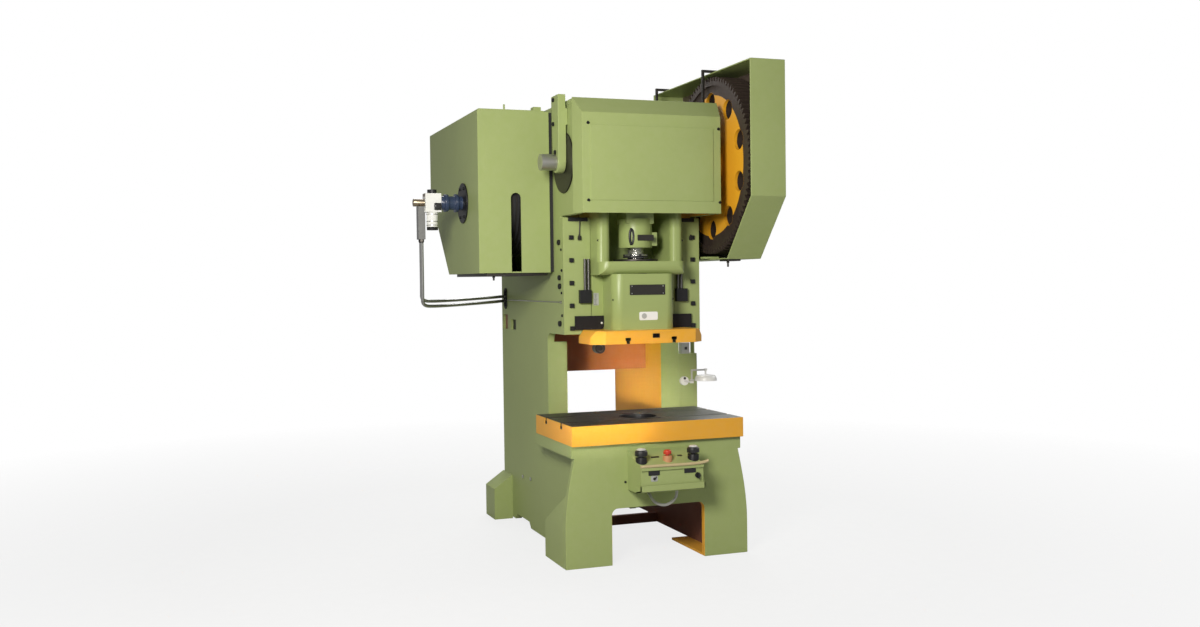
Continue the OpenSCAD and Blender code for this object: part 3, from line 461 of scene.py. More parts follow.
def gear_finish():
    f = Finish("gear_two_tone")
    where = f.place()
    run = f.part(where, "Y") - GEAR_AXIS.y
    rise = f.part(where, "Z") - GEAR_AXIS.z
    reach = reach_of(run, rise)
    tenth = 2 * math.pi / HOLES
    turn = rise.math("ARCTAN2", rise, run) - tenth / 2
    folded = turn.math("WRAP", turn, tenth / 2, -tenth / 2)
    beside = reach * folded.math("SINE", folded)
    beyond = reach * folded.math("COSINE", folded) - HOLE_RING
    hole = reach_of(beside, beyond) < HOLE_RADIUS
    # Painted shade: hole walls deeper than the mouth are dark, for the dark seen through the thin web.
    painted_shade_deep = f.part(where, "X") > gear_low.x + WEB_SET_BACK + AMBER_MOUTH
    oil_and_shade = ((reach > WEB_RADIUS) * (1 - hole * (1 - painted_shade_deep))).either(hole * painted_shade_deep)
    return f.surface(two_coats(f, oil_and_shade, cast_coat(f, AMBER, 0.38), oxide_coat(f, GEAR_OIL_AND_SHADE, 0.5)))


SLOT_X, SLOT_HALF, SLOT_LOW, SLOT_HIGH = 0.152, 0.0175, 0.5 * MM, 0.0385
WINDOW_X, WINDOW_Z = (0.0095, 0.0565), (0.0335, 0.0605)
FACE_DEPTH = 1.5 * MM


def slide_plate_finish():
    f = Finish("slide_plate_two_tone")
    x, y, z = spot(f)
    up = z - plane("slide_plate", "z0")
    slot = (abs(abs(x) - SLOT_X) < SLOT_HALF) * (up < SLOT_HIGH) * (up > SLOT_LOW)
    window = (x > WINDOW_X[0]) * (x < WINDOW_X[1]) * (up > WINDOW_Z[0]) * (up < WINDOW_Z[1])
    inside = slot.either(window) * (y > plane("slide_plate", "y0") + FACE_DEPTH)
    return f.surface(two_coats(f, inside, paint_coat(f, AMBER), oxide_coat(f, OXIDE)), **SHOP_GLOSS)


GUARD_MOUTH = 20 * MM
# A dark brown on the inner face of the guard's outer wall.
GUARD_WALL_BROWN = (0.060, 0.036, 0.028)


def guard_finish():
    f = Finish("guard_two_tone")
    inside = spot(f)[0] > plane("gear_guard", "x0") + GUARD_MOUTH
    wall = (f.part(f.facing(), "X") < -FACING) * inside
    return f.surface(two_coats(f, wall, paint_coat(f, SAGE), paint_coat(f, GUARD_WALL_BROWN)), **SHOP_GLOSS)


GEAR_PAINT = gear_finish()
SLIDE_PLATE_PAINT = slide_plate_finish()
GUARD_PAINT = guard_finish()
print("two-tone finishes: gear, slide plate, guard")

# %% [markdown]
# The air feed shows six materials on two nodes. The union is a dark flange with a blue body. The valve is
# white with a black knob and cap, a brass end and a steel elbow, told apart by where they lie on it. The
# control box is green with black collars under the palm buttons and a pale red one under the stop. The
# adjusting screw has its thread as relief, because the ridges are too fine to show in its outline.

# %% Mix the air feed, control box and screw finishes
UNION_FLANGE = 12 * MM
BLUE = (0.030, 0.048, 0.100)


def union_finish():
    f = Finish("union_two_tone")
    body = spot(f)[0] < plane("flywheel_cover", "x0") - UNION_FLANGE
    return f.surface(two_coats(f, body, oxide_coat(f, OXIDE), plastic_coat(f, BLUE, 0.30)))


VALVE_ARM = 71
KNOB_HIGH, CAP_TOP, END_LOW = 0.0255, 0.080, 0.2115
ELBOW_STEEL, END_BRASS = (0.28, 0.28, 0.27), (0.33, 0.27, 0.19)


def valve_finish():
    f = Finish("valve_parts")
    x, y, z = spot(f)
    top, low = plane("air_valve", "z1"), plane("air_valve", "z0")
    arm_end = plane("air_valve", "x0") + VALVE_ARM * MM
    black = (z > top - KNOB_HIGH).either((z < low + CAP_TOP) * (x > arm_end))
    end = (x < arm_end) * (z > low + END_LOW)
    elbow = (x < arm_end) * (z < low + END_LOW)
    coat = two_coats(f, black, plastic_coat(f, WHITE, 0.30), plastic_coat(f, BLACK, 0.40))
    coat = two_coats(f, elbow, coat, steel_coat(f, ELBOW_STEEL, 0.36))
    return f.surface(two_coats(f, end, coat, steel_coat(f, END_BRASS, 0.34)))


BUTTON_X, BUTTON_Y, COLLAR_RADIUS = 0.168, -0.468, 0.0362
LID_Y, LID_Z, LID_RISE = -0.540, 0.605, 85 / 212
PALE_RED = (0.55, 0.27, 0.13)


def box_finish():
    f = Finish("control_box_paint")
    x, y, z = spot(f)
    raised = z - LID_RISE * (y - LID_Y) > LID_Z + MM
    palms = (reach_of(abs(x) - BUTTON_X, y - BUTTON_Y) < COLLAR_RADIUS) * raised
    stop = (reach_of(x, y - BUTTON_Y) < COLLAR_RADIUS) * raised
    coat = two_coats(f, palms, paint_coat(f, SAGE), plastic_coat(f, BLACK, 0.4))
    return f.surface(two_coats(f, stop, coat, plastic_coat(f, PALE_RED, 0.4)), **SHOP_GLOSS)


THREAD_PITCH, THREAD_RELIEF = 8 * MM, 1.1
BRIGHT_STEEL = (0.80, 0.80, 0.77)


def screw_finish():
    f = Finish("screw_thread")
    coat = steel_coat(f, BRIGHT_STEEL, 0.20)
    turn = spot(f)[2] * (2 * math.pi / THREAD_PITCH)
    upright = abs(f.part(f.facing(), "Z")) < FACING
    coat["height"] = THREAD_RELIEF * turn.math("SINE", turn) * upright
    return f.surface(coat)


UNION_PAINT = union_finish()
VALVE_PAINT = valve_finish()
SCREW_STEEL = screw_finish()
BOX_PAINT = box_finish()
print("finishes: union, valve, control box, screw")

# %% [markdown]
# Each node of the model already names a material slot, so the finishes are handed out by slot. The pieces
# with a finish of their own are looked up by name first.

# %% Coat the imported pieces
OWN_FINISH = {
    "left_side_frame": SIDE_PAINT,
    "right_side_frame": SIDE_PAINT,
    "front_apron": APRON_PAINT,
    # The throat web wears its amber as painted shade.
    "throat_web": WEB_SHADE_PAINT,
    "bolster_plate": BOLSTER_PAINT,
    # The foot tie is brown as painted shade under the bed.
    "foot_tie": SHADE_BROWN_PAINT,
    "bull_gear": GEAR_PAINT,
    "gear_guard": GUARD_PAINT,
    "slide_plate": SLIDE_PLATE_PAINT,
    "slide": CAST_SAGE,
    "connecting_rod": CAST_SAGE,
    "ball_screw": SCREW_STEEL,
    "rotary_union": UNION_PAINT,
    "air_valve": VALVE_PAINT,
    "air_lines": GREY_PIPE,
    "control_box": BOX_PAINT,
    "stop_rods": DARK_PIPE,
}
for part in frame["record"]["subparts"]:
    slots = frame["nodes"][part["node"]].data.materials
    slots.clear()
    slots.append(OWN_FINISH.get(part["node"], FINISH[part["material_slot"]]))

# %% [markdown]
# No plate or casting has a knife edge. A bevel catches a line of light along every corner, and that line is
# what makes a plate read as thick steel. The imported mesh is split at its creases, so it is welded first and
# its flat triangles are merged, and then a Bevel modifier eases every sharp edge.

# %% Ease the edges
SHARP = math.radians(35)
FLAT = math.radians(0.4)
WELD_GAP = 0.02 * MM


def ease(node, width):
    piece = frame["nodes"][node]
    weld = piece.modifiers.new("weld", "WELD")
    weld.merge_threshold = WELD_GAP
    flat = piece.modifiers.new("flat", "DECIMATE")
    flat.decimate_type = "DISSOLVE"
    flat.angle_limit = FLAT
    bevel = piece.modifiers.new("ease", "BEVEL")
    bevel.width = width * MM
    bevel.segments = 2
    bevel.limit_method = "ANGLE"
    bevel.angle_limit = SHARP
    bevel.harden_normals = True
    bevel.miter_outer = "MITER_ARC"


EASED = {
    1.0: "guard_stays crank_disc",
    1.5: "gib_bolts ball_retainer rotary_union",
    2.0: "throat_web rear_plates foot_plates foot_tie left_front_gib right_front_gib stop_blocks "
         "control_box lamp_switch_box motor_base",
    2.5: "bolster_plate crown_plate cover_lid slide_plate",
    3.0: "left_side_frame right_side_frame front_apron bed_plate gear_guard electrical_cabinet "
         "rod_cap air_valve",
    4.0: "outboard_arm flywheel_cover",
    5.0: "connecting_rod",
    6.0: "head_cover slide",
}
for width, nodes in EASED.items():
    for node in nodes.split():
        ease(node, width)
print("widths of eased edges, in millimetres:", list(EASED))

# %% [markdown]
# Small fittings are modelled from here on, in millimetres from the ram axis. They start as lists of points:
# a rectangle with round corners serves most plates, and a smooth curve through a few points serves tubes.


# %% Draw outlines and paths
def turns(steps):
    """The angles of one turn in even steps."""
    return [2 * math.pi * i / steps for i in range(steps)]


def rounded(width, height, radius, steps=4):
    """A rectangle with round corners about its own middle, as (across, up) pairs."""
    points = []
    for corner, (sx, sy) in enumerate(((1, 1), (-1, 1), (-1, -1), (1, -1))):
        for i in range(steps + 1):
            a = math.pi / 2 * (corner + i / steps)
            points.append((sx * (width / 2 - radius) + radius * math.cos(a),
                           sy * (height / 2 - radius) + radius * math.sin(a)))
    return points


def curve(points, steps=6):
    """A smooth path of cubic arcs through points."""
    points = [Vector(p) for p in points]
    ends = [2 * points[0] - points[1]] + points + [2 * points[-1] - points[-2]]
    path = []
    for p0, p1, p2, p3 in zip(ends, ends[1:], ends[2:], ends[3:]):
        for i in range(steps):
            t = i / steps
            path.append(0.5 * (2 * p1 + (p2 - p0) * t + (2 * p0 - 5 * p1 + 4 * p2 - p3) * t ** 2
                               + (3 * p1 - p0 - 3 * p2 + p3) * t ** 3))
    return path + [points[-1]]


print("points in a rounded outline:", len(rounded(2, 1, 0.1)))

# %% [markdown]
# A few moves then make every fitting: a profile spun about an axis, an outline pushed out of a face, a
# section drawn sideways, and a round section drawn along a path. One shape can hold every screw of a kind,
# and becomes a single piece that rides a body.

# %% Make the modelling moves
FRONT, LEFT, RIGHT = Vector((0, -1, 0)), Vector((-1, 0, 0)), Vector((1, 0, 0))
TOP, UNDER = Vector((0, 0, 1)), Vector((0, 0, -1))
TO_FRAME = Matrix.Translation((RAM.x, RAM.y, 0)) @ Matrix.Scale(MM, 4)
FROM_FRAME = TO_FRAME.inverted()
SUNK = 1
HEXAGON = 6


class Shape:
    """A mesh under construction. What stands on a face is sunk a little into it."""

    def __init__(self):
        self.mesh = bmesh.new()

    def skin(self, rings):
        loops = [[self.mesh.verts.new(p) for p in ring] for ring in rings]
        for low, high in zip(loops, loops[1:]):
            for i in range(len(low)):
                self.mesh.faces.new((low[i - 1], low[i], high[i], high[i - 1]))
        self.mesh.faces.new(loops[0][::-1])
        self.mesh.faces.new(loops[-1])

    def turned(self, foot, axis, profile, steps=24):
        """Spin (radius, height) pairs about an axis that leaves a face at foot."""
        side = axis.orthogonal().normalized()
        other = axis.cross(side)
        spokes = [math.cos(a) * side + math.sin(a) * other for a in turns(steps)]
        self.skin([[foot + height * axis + radius * s for s in spokes] for radius, height in profile])

    def slab(self, outline, foot, axis, depth, eased=0.8):
        """Push an outline of (across, up) pairs out of a face at foot, with its front edge eased."""
        up = -FRONT if axis in (TOP, UNDER) else (TOP - TOP.dot(axis) * axis).normalized()
        across = up.cross(axis)
        flat = [a * across + u * up for a, u in outline]
        inner = [p - eased * p.normalized() for p in flat]
        layers = ((flat, -SUNK), (flat, depth - eased), (inner, depth))
        self.skin([[foot + p + height * axis for p in points] for points, height in layers])

    def bar(self, section, ends):
        """Draw a section of (y, z) pairs from one x to another."""
        self.skin([[Vector((x, y, z)) for y, z in section] for x in ends])

    def tube(self, path, radius, steps=12):
        """Draw a round section along a path of points."""
        rings = []
        side = None
        for i, point in enumerate(path):
            ahead = (path[min(i + 1, len(path) - 1)] - path[max(i - 1, 0)]).normalized()
            side = ahead.orthogonal() if side is None else side - side.dot(ahead) * ahead
            side.normalize()
            other = ahead.cross(side)
            spokes = [math.cos(a) * side + math.sin(a) * other for a in turns(steps)]
            rings.append([point + radius * s for s in spokes])
        self.skin(rings)

    def piece(self, name, body, slot, finish=None):
        bmesh.ops.recalc_face_normals(self.mesh, faces=self.mesh.faces)
        bmesh.ops.transform(self.mesh, matrix=TO_FRAME, verts=self.mesh.verts)
        data = bpy.data.meshes.new(name)
        self.mesh.to_mesh(data)
        self.mesh.free()
        data.polygons.foreach_set("use_smooth", [True] * len(data.polygons))
        data.set_sharp_from_angle(angle=SHARP)
        data.materials.append(finish or FINISH[slot])
        made = bpy.data.objects.new(name, data)
        bpy.context.scene.collection.objects.link(made)
        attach(made, body)
        return made


print("moves: turned, slab, bar, tube")

# %% [markdown]
# A fitting has to touch what carries it. Rather than trust a typed number, a ray is sent from outside the
# machine towards the face and the fitting is set where it lands, so a screw keeps its seat when the packed
# model changes.

# %% Find the seats
FAR = 3000
TREES = {}


def tree_of(node):
    if node not in TREES:
        data = frame["nodes"][node].data
        points, faces = [v.co for v in data.vertices], [p.vertices for p in data.polygons]
        TREES[node] = BVHTree.FromPolygons(points, faces)
    return TREES[node]


def seat(nodes, axis, *across):
    """The outermost face of some nodes along an outward axis, at the two coordinates across that axis."""
    given = iter(across)
    start = at(*(FAR * part if part else next(given) for part in axis))
    hits = [tree_of(node).ray_cast(start, -axis) for node in nodes.split()]
    near = min((h for h in hits if h[0] is not None), key=lambda h: h[3])
    return FROM_FRAME @ near[0]


def middle(node):
    """The middle of a node's box."""
    low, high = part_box(node)
    return FROM_FRAME @ ((low + high) / 2)


def cap_screw(shape, nodes, axis, across, radius):
    """A round head with a socket sunk in it, seated on some nodes."""
    high = 0.8 * radius
    head = [(radius, -SUNK), (radius, high - 1), (radius - 1, high)]
    socket = [(0.58 * radius, high), (0.5 * radius, 0.3 * high)]
    shape.turned(seat(nodes, axis, *across), axis, head + socket)


def rivet(shape, foot, axis, radius):
    """A low domed head."""
    dome = [(radius, -SUNK), (0.92 * radius, 0.3 * radius), (0.6 * radius, 0.6 * radius),
            (0.2 * radius, 0.7 * radius)]
    shape.turned(foot, axis, dome, 16)


print("front of the apron:", round(seat("front_apron", FRONT, 0, 700).y))

# %% [markdown]
# Cap screws hold the head cover, the outboard arm, the guides behind the side plates, and the apron. All of
# them become one piece, because they are alike and ride the same body.

# %% Screw the frame together
HEAD_SCREWS = ((-415, 2641), (-417, 2184), (444, 2179), (438, 2630))
ARM_SCREWS = ((7, 2814), (10, 2667), (-20, 2493))
SIDE_BOLTS = (((122, 1948), 17), ((86, 1901), 8), ((79, 1772), 9), ((119, 1727), 16), ((113, 1674), 17),
              ((86, 1632), 8), ((79, 1491), 9), ((115, 1440), 18))
RIGHT_BOLTS_TOP = 1760
APRON_SCREW = (-216, 497)
screws = Shape()
for across in HEAD_SCREWS:
    cap_screw(screws, "head_cover", FRONT, across, 9)
for across in ARM_SCREWS:
    cap_screw(screws, "outboard_arm", LEFT, across, 13)
for across, radius in SIDE_BOLTS:
    cap_screw(screws, "left_side_frame left_front_gib left_guide", LEFT, across, radius)
    if across[1] < RIGHT_BOLTS_TOP:
        cap_screw(screws, "right_side_frame right_front_gib right_guide", RIGHT, across, radius)
cap_screw(screws, "front_apron", FRONT, APRON_SCREW, 7)
screws.piece("frame_screws", "frame", "black_oxide")
print("screws on the frame: head cover, arm, sides, apron")

# %% [markdown]
# Oil reaches the guides through thin tubes, one along the left plate and one down the gib. Black wipers
# close the top of the gibs, and two bright plugs close holes low on the left plate.

# %% Run the oil lines
LINE_Z, LINE_RADIUS = 1575, 3
plate_x = seat("left_side_frame", LEFT, 700, LINE_Z).x
oil = Shape()
oil.tube(curve([(plate_x - LINE_RADIUS, y, LINE_Z) for y in (1340, 700, 100)]), LINE_RADIUS)
oil.turned(Vector((plate_x, 92, LINE_Z)), LEFT, [(9, -SUNK), (9, 9), (5, 11), (5, 13)], HEXAGON)
oil.piece("side_oil_line", "frame", "machined_steel")

BLOCK_Z, NIPPLE_Z, DROP_RADIUS = 1972, 1985, 4
drop = Shape()
for gib, x, fed in (("left_front_gib", -357, True), ("right_front_gib", 401, False)):
    face = seat(gib, FRONT, x, NIPPLE_Z).y
    if fed:
        way = [(x + 6, face - 4, 2094), (x + 3, face - 5, 2046), (x, face - 5, NIPPLE_Z)]
        drop.tube(curve(way), DROP_RADIUS)
    drop.slab(rounded(20, 26, 3), Vector((x, face, BLOCK_Z)), FRONT, 14)
    drop.turned(Vector((x, face - 7, NIPPLE_Z)), TOP, [(6, -SUNK), (6, 8), (4, 10)], HEXAGON)
drop.piece("gib_oil_fittings", "frame", "dark_steel")

WIPER_LOW = 2076
wipers = Shape()
for gib, x, width in (("left_front_gib", -365, 128), ("right_front_gib", 384, 84)):
    high = edge(gib, "z1")
    foot = Vector((x, edge(gib, "y0"), (WIPER_LOW + high) / 2))
    wipers.slab(rounded(width, high - WIPER_LOW, 4), foot, FRONT, 8)
wipers.piece("gib_wipers", "frame", "belt_rubber")

PLUG = [(14, -SUNK), (14, 5), (11, 7), (6, 7), (5, 3)]
PLUGS_AT = ((1003, 345), (815, 357))
plugs = Shape()
for across in PLUGS_AT:
    plugs.turned(seat("left_side_frame", LEFT, *across), LEFT, PLUG, HEXAGON)
plugs.piece("side_plugs", "frame", "zinc_alloy")
print("oil lines, wipers and plugs fitted")

# %% [markdown]
# The slide carries a dark plate, a white label and a few screws. Both plates are left bare, apart from a
# plain grey dot on the label.

# %% Dress the slide
PLATE_AT, PLATE_DEPTH = (16, 1646), 3
LABEL_AT, LABEL_DEPTH = (21, 1484), 2
SLIDE_SCREWS = ((-281, 1953), (-199, 1586), (281, 1953), (199, 1586))
plate = Shape()
plate_foot = seat("slide", FRONT, *PLATE_AT)
plate.slab(rounded(236, 64, 3), plate_foot, FRONT, PLATE_DEPTH)
plate.slab(rounded(222, 50, 2), plate_foot + PLATE_DEPTH * FRONT, FRONT, 1, 0.4)
plate.piece("slide_plate_blank", "slide", "dark_steel")

label = Shape()
label_foot = seat("slide", FRONT, *LABEL_AT)
label.slab(rounded(123, 52, 9), label_foot, FRONT, LABEL_DEPTH)
label.piece("slide_label", "slide", "white_enamel")
dot = Shape()
dot_foot = label_foot + Vector((-29, -LABEL_DEPTH, 0))
dot.turned(dot_foot, FRONT, [(17, -0.5), (17, 0.6), (11, 0.8), (11, 0.3)])
dot.piece("slide_label_dot", "slide", "grey_plastic")

slide_screws = Shape()
for across in SLIDE_SCREWS:
    cap_screw(slide_screws, "slide", FRONT, across, 6)
slide_screws.piece("slide_screws", "slide", "black_oxide")

rivets = Shape()
for x in (-104, 104):
    for z in (-22, 22):
        rivet(rivets, plate_foot + Vector((x, -PLATE_DEPTH, z)), FRONT, 3.5)
rivets.piece("slide_plate_rivets", "slide", "zinc_alloy")
print("slide dressed")

# %% [markdown]
# A thin black plate on each side of the slide catches oil from the guides. Its inner lower corner is round,
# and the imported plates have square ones, so a new pair of the same size stands for them.

# %% Round the oil catchers
CATCHER_BEND, CATCHER_RIVET = 24, (-222, 1441)
catcher = edges("oil_catchers")
inner_x = min(abs(v.co.x - RAM.x) for v in frame["nodes"]["oil_catchers"].data.vertices) / MM
half_x, half_z = (catcher["x1"] - inner_x) / 2, (catcher["z1"] - catcher["z0"]) / 2
bend_x, bend_z = half_x - CATCHER_BEND, half_z - CATCHER_BEND
quarter = turns(32)[:9]
bend = [(bend_x + CATCHER_BEND * math.cos(a), bend_z + CATCHER_BEND * math.sin(a)) for a in quarter]
catchers = Shape()
for side in (-1, 1):
    outline = [(side * half_x, -half_z), (side * half_x, half_z), (-side * half_x, half_z)]
    outline += [(-side * x, -z) for x, z in bend]
    foot = Vector((side * (inner_x + catcher["x1"]) / 2, catcher["y1"], middle("oil_catchers").z))
    catchers.slab(outline, foot, FRONT, catcher["y1"] - catcher["y0"])
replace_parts(catchers.piece("oil_catcher_plates", "slide", "black_oxide", CATCHER_PAINT), "oil_catchers")
# The rivet head is white as a painted highlight, a glint on the dark catcher.
catcher_glint_rivet = Shape()
rivet(catcher_glint_rivet, seat("oil_catchers", FRONT, *CATCHER_RIVET), FRONT, 7)
catcher_glint_rivet.piece("catcher_glint_rivet", "slide", "white_enamel")
print("oil catchers:", [round(2 * half) for half in (half_x, half_z)], "mm")

# %% [markdown]
# A round dark stop for the knockout bar hangs under the slide plate. The rod has a bare plate and a black
# grip, and a ring locks the screw. A scale beside the left stop shows the shut height.

# %% Dress the rod and screw
KNOCKOUT_X, KNOCKOUT_DROP = -278, 28
knockout = Shape()
knock_z = edge("slide_plate", "z0") - KNOCKOUT_DROP
knockout.turned(Vector((KNOCKOUT_X, -30, knock_z)), FRONT,
                [(30, 0), (33, 3), (33, 62), (29, 66), (20, 66), (17, 52)])
knockout.slab(rounded(40, 50, 4), Vector((KNOCKOUT_X, -62, knock_z + 29)), UNDER, 20)
knockout.piece("knockout_stop", "slide", "dark_steel")

ROD_PLATE_AT, PAD_DEPTH = (25, 1969), 5
rod_foot = seat("connecting_rod", FRONT, *ROD_PLATE_AT)
rod_plate = Shape()
rod_plate.slab(rounded(108, 36, 3), rod_foot + PAD_DEPTH * FRONT, FRONT, 4)
rod_plate.slab(rounded(60, 20, 3), rod_foot, FRONT, PAD_DEPTH)
rod_plate.piece("rod_plate_blank", "rod", "dark_steel")

GRIP_AT, GRIP_WIDE, GRIP_HIGH = (-62, 1976), 13, 46
grip = Shape()
grip_foot = seat("connecting_rod", FRONT, *GRIP_AT)
loop = [grip_foot + Vector((GRIP_WIDE * math.cos(a), -6, GRIP_HIGH * math.sin(a))) for a in turns(32)]
grip.tube(loop + loop[:2], 7)
for end in (-GRIP_HIGH, GRIP_HIGH):
    grip.turned(grip_foot + Vector((0, 6, end)), FRONT, [(8, 0), (8, 10), (6, 16)], 12)
grip.piece("rod_grip", "rod", "black_plastic")

RING_LOW, LUG_Z, LUG_RADIUS = 1846, 1862, 78
ring = Shape()
ring.turned(Vector((0, 0, RING_LOW)), TOP, [(70, 0.5), (77, 0.5), (80, 3), (80, 9), (78, 10)], 48)
for a in turns(8):
    out = Vector((math.cos(a), math.sin(a), 0))
    ring.slab(rounded(16, 10, 2), LUG_RADIUS * out + Vector((0, 0, LUG_Z)), out, 1.5, 0.4)
ring.piece("screw_lock_ring", "screw", "black_oxide")

MARKS, MARK_STEP = 9, 8
LONG_MARK, SHORT_MARK, LONG_EVERY = 22, 13, 4
SCALE_AT, SCALE_DEPTH = (-252, 1590), 3
scale = Shape()
scale_foot = seat("left_front_gib slide", FRONT, *SCALE_AT)
scale.slab(rounded(34, 78, 2), scale_foot, FRONT, SCALE_DEPTH)
scale.piece("shut_height_scale", "slide", "grey_plastic")
marks = Shape()
for i in range(MARKS):
    width = SHORT_MARK if i % LONG_EVERY else LONG_MARK
    up = MARK_STEP * (i - (MARKS - 1) / 2)
    marks.slab(rounded(width, 2, 0.6, 2), scale_foot + Vector((-4, -SCALE_DEPTH, up)), FRONT, 0.5, 0.2)
marks.piece("shut_height_marks", "slide", "black_plastic")
print("rod and screw dressed, scale marks:", MARKS)

# %% [markdown]
# A black rubber seal closes the gap between the flywheel cover and the frame, and its black is also painted
# shade for that gap. It is a frame of five straight bars that follows the cover's outline a little way in. A
# dark flange and a drain stub show below the cover, and the gear guard has a bracket of the same kind.

# %% Seal the covers
SEAL_INSET, SEAL_WIDTH = 5, 9
SLOPE_FOOT, SLOPE_TOP = 1073, 2334
cover = edges("flywheel_cover")
seal_line = [(cover["y0"], cover["z0"]), (SLOPE_FOOT, cover["z0"]), (cover["y1"], SLOPE_TOP),
             (cover["y1"], cover["z1"]), (cover["y0"], cover["z1"])]
middle_y, middle_z = (sum(values) / len(seal_line) for values in zip(*seal_line))


def shrunk(inset):
    """The seal's line moved in towards its middle, each point by the inset along both axes."""
    moved = []
    for y, z in seal_line:
        moved.append((y + math.copysign(inset, middle_y - y), z + math.copysign(inset, middle_z - z)))
    return moved


# The seal's black rubber is partly painted shade for the dark gap.
seal = Shape()
outer, inner = shrunk(SEAL_INSET), shrunk(SEAL_INSET + SEAL_WIDTH)
for section in zip(outer, outer[1:] + outer[:1], inner[1:] + inner[:1], inner):
    seal.bar(section, (cover["x1"] - 6, plate_x + 2))
seal.piece("cover_seal_and_shade", "frame", "belt_rubber")


def stub(shape, foot, length):
    """A short drain pipe with a collar, hanging from foot."""
    shape.turned(foot, UNDER, [(9, -SUNK), (9, 10), (6, 12), (6, length), (4, length + 2)], 16)


FLANGE_WIDTH, FLANGE_GAP, FLANGE_INSET, FLANGE_DEPTH = 400, 14, 20, 18
BRACKET_DEPTH = 12
flange = Shape()
flange_long = SLOPE_FOOT - cover["y0"] - 2 * FLANGE_INSET
flange_x = cover["x1"] - FLANGE_GAP - FLANGE_WIDTH / 2
flange_foot = Vector((flange_x, (cover["y0"] + SLOPE_FOOT) / 2, cover["z0"]))
flange.slab(rounded(FLANGE_WIDTH, flange_long, 6), flange_foot, UNDER, FLANGE_DEPTH)
stub(flange, Vector((-842, 300, cover["z0"] - FLANGE_DEPTH)), 26)
guard_x, guard_z = edge("gear_guard", "x0"), edge("gear_guard", "z0")
flange.slab(rounded(90, 120, 4), Vector((guard_x + 60, -190, guard_z)), UNDER, BRACKET_DEPTH)
stub(flange, Vector((guard_x + 40, -200, guard_z - BRACKET_DEPTH)), 34)
flange.piece("cover_flanges", "frame", "dark_steel")
print("seal and flanges fitted")

# %% [markdown]
# The two rear windows of the left plate are closed by recessed plates, one brown and one black, as painted
# shade for the dark seen through them. A rubber grommet with two round ends passes the pipes through the same
# plate.

# %% Close the windows
WINDOW_RECESS, GROMMET_RECESS = 26, 22
# Both plates are dark as painted shade in the window openings.
WINDOWS = {
    "rear_window_shade_plate": (1400, 1417, 124, 109, SHADE_BROWN_PAINT),
    "front_window_shade_plate": (1195, 1401, 134, 77, None),
}
for name, (y, z, wide, high, finish) in WINDOWS.items():
    cover_plate = Shape()
    cover_plate.slab(rounded(wide, high, 2), Vector((plate_x + WINDOW_RECESS, y, z)), LEFT, 8)
    cover_plate.piece(name, "frame", "black_oxide", finish)

GROMMET_Y, GROMMET_Z, GROMMET_RADIUS, GROMMET_LONG = 1382, 1586, 27, 84
grommet = Shape()
loop = []
for a in turns(40):
    end_z = GROMMET_Z + GROMMET_LONG / 2 * (1 if a < math.pi else -1)
    y, z = GROMMET_Y + GROMMET_RADIUS * math.cos(a), end_z + GROMMET_RADIUS * math.sin(a)
    loop.append(Vector((plate_x - 1, y, z)))
grommet.tube(loop + loop[:2], 8, 8)
back_wide = 2 * GROMMET_RADIUS + 1
back_foot = Vector((plate_x + GROMMET_RECESS, GROMMET_Y, GROMMET_Z))
grommet.slab(rounded(back_wide, back_wide + GROMMET_LONG, GROMMET_RADIUS, 8), back_foot, LEFT, 6)
grommet.piece("pipe_grommet", "frame", "belt_rubber")
print("windows closed:", len(WINDOWS))

# %% [markdown]
# The valve has a gauge on its face, rings round its bowl and hexagon unions where the pipes leave. Six cap
# screws hold the flange of the rotary union.

# %% Detail the air valve
BOWL_OUT = 52
valve = edges("air_valve")
bowl_x, bowl_y = valve["x0"] + VALVE_ARM + BOWL_OUT, middle("air_valve").y
GAUGE_DEPTH = 16
gauge = Shape()
gauge_foot = seat("air_valve", FRONT, valve["x1"] - 26, valve["z1"] - 110)
gauge.slab(rounded(44, 44, 4), gauge_foot, FRONT, GAUGE_DEPTH)
gauge.turned(gauge_foot + GAUGE_DEPTH * FRONT, FRONT, [(18, -SUNK), (18, 5), (15, 6), (15, 4)])
gauge.piece("valve_gauge", "frame", "black_plastic")

rings = Shape()
for up in (88, 112, 158):
    rings.turned(Vector((bowl_x, bowl_y, valve["z0"] + up)), TOP, [(35, 0), (38, 1), (38, 6), (35, 7)], 32)
rings.piece("valve_bowl_rings", "frame", "zinc_alloy")

PIPE_X, PIPE_APART = 49, 30
nuts = Shape()
for side in (-1, 1):
    nut_foot = Vector((valve["x0"] + PIPE_X, bowl_y + side * PIPE_APART / 2, valve["z0"]))
    nuts.turned(nut_foot, UNDER, [(14, -2), (15, 0), (15, 14), (13, 16), (12, 22)], HEXAGON)
nuts.piece("pipe_nuts", "frame", "dark_steel")

UNION_BOLTS, BOLT_RING, UNION_DROP = 6, 105, 85
union_bolts = Shape()
for a in turns(UNION_BOLTS):
    across = (bowl_y + BOLT_RING * math.cos(a), valve["z1"] - UNION_DROP + BOLT_RING * math.sin(a))
    cap_screw(union_bolts, "rotary_union", LEFT, across, 9)
union_bolts.piece("union_bolts", "frame", "black_oxide")
print("air valve detailed, union bolts:", UNION_BOLTS)

# %% [markdown]
# The control box has blank label plates on its sloping lid and on its front, and a pale dial plate with a
# pointer. The plates on the lid need its slope, which two seats on it give.

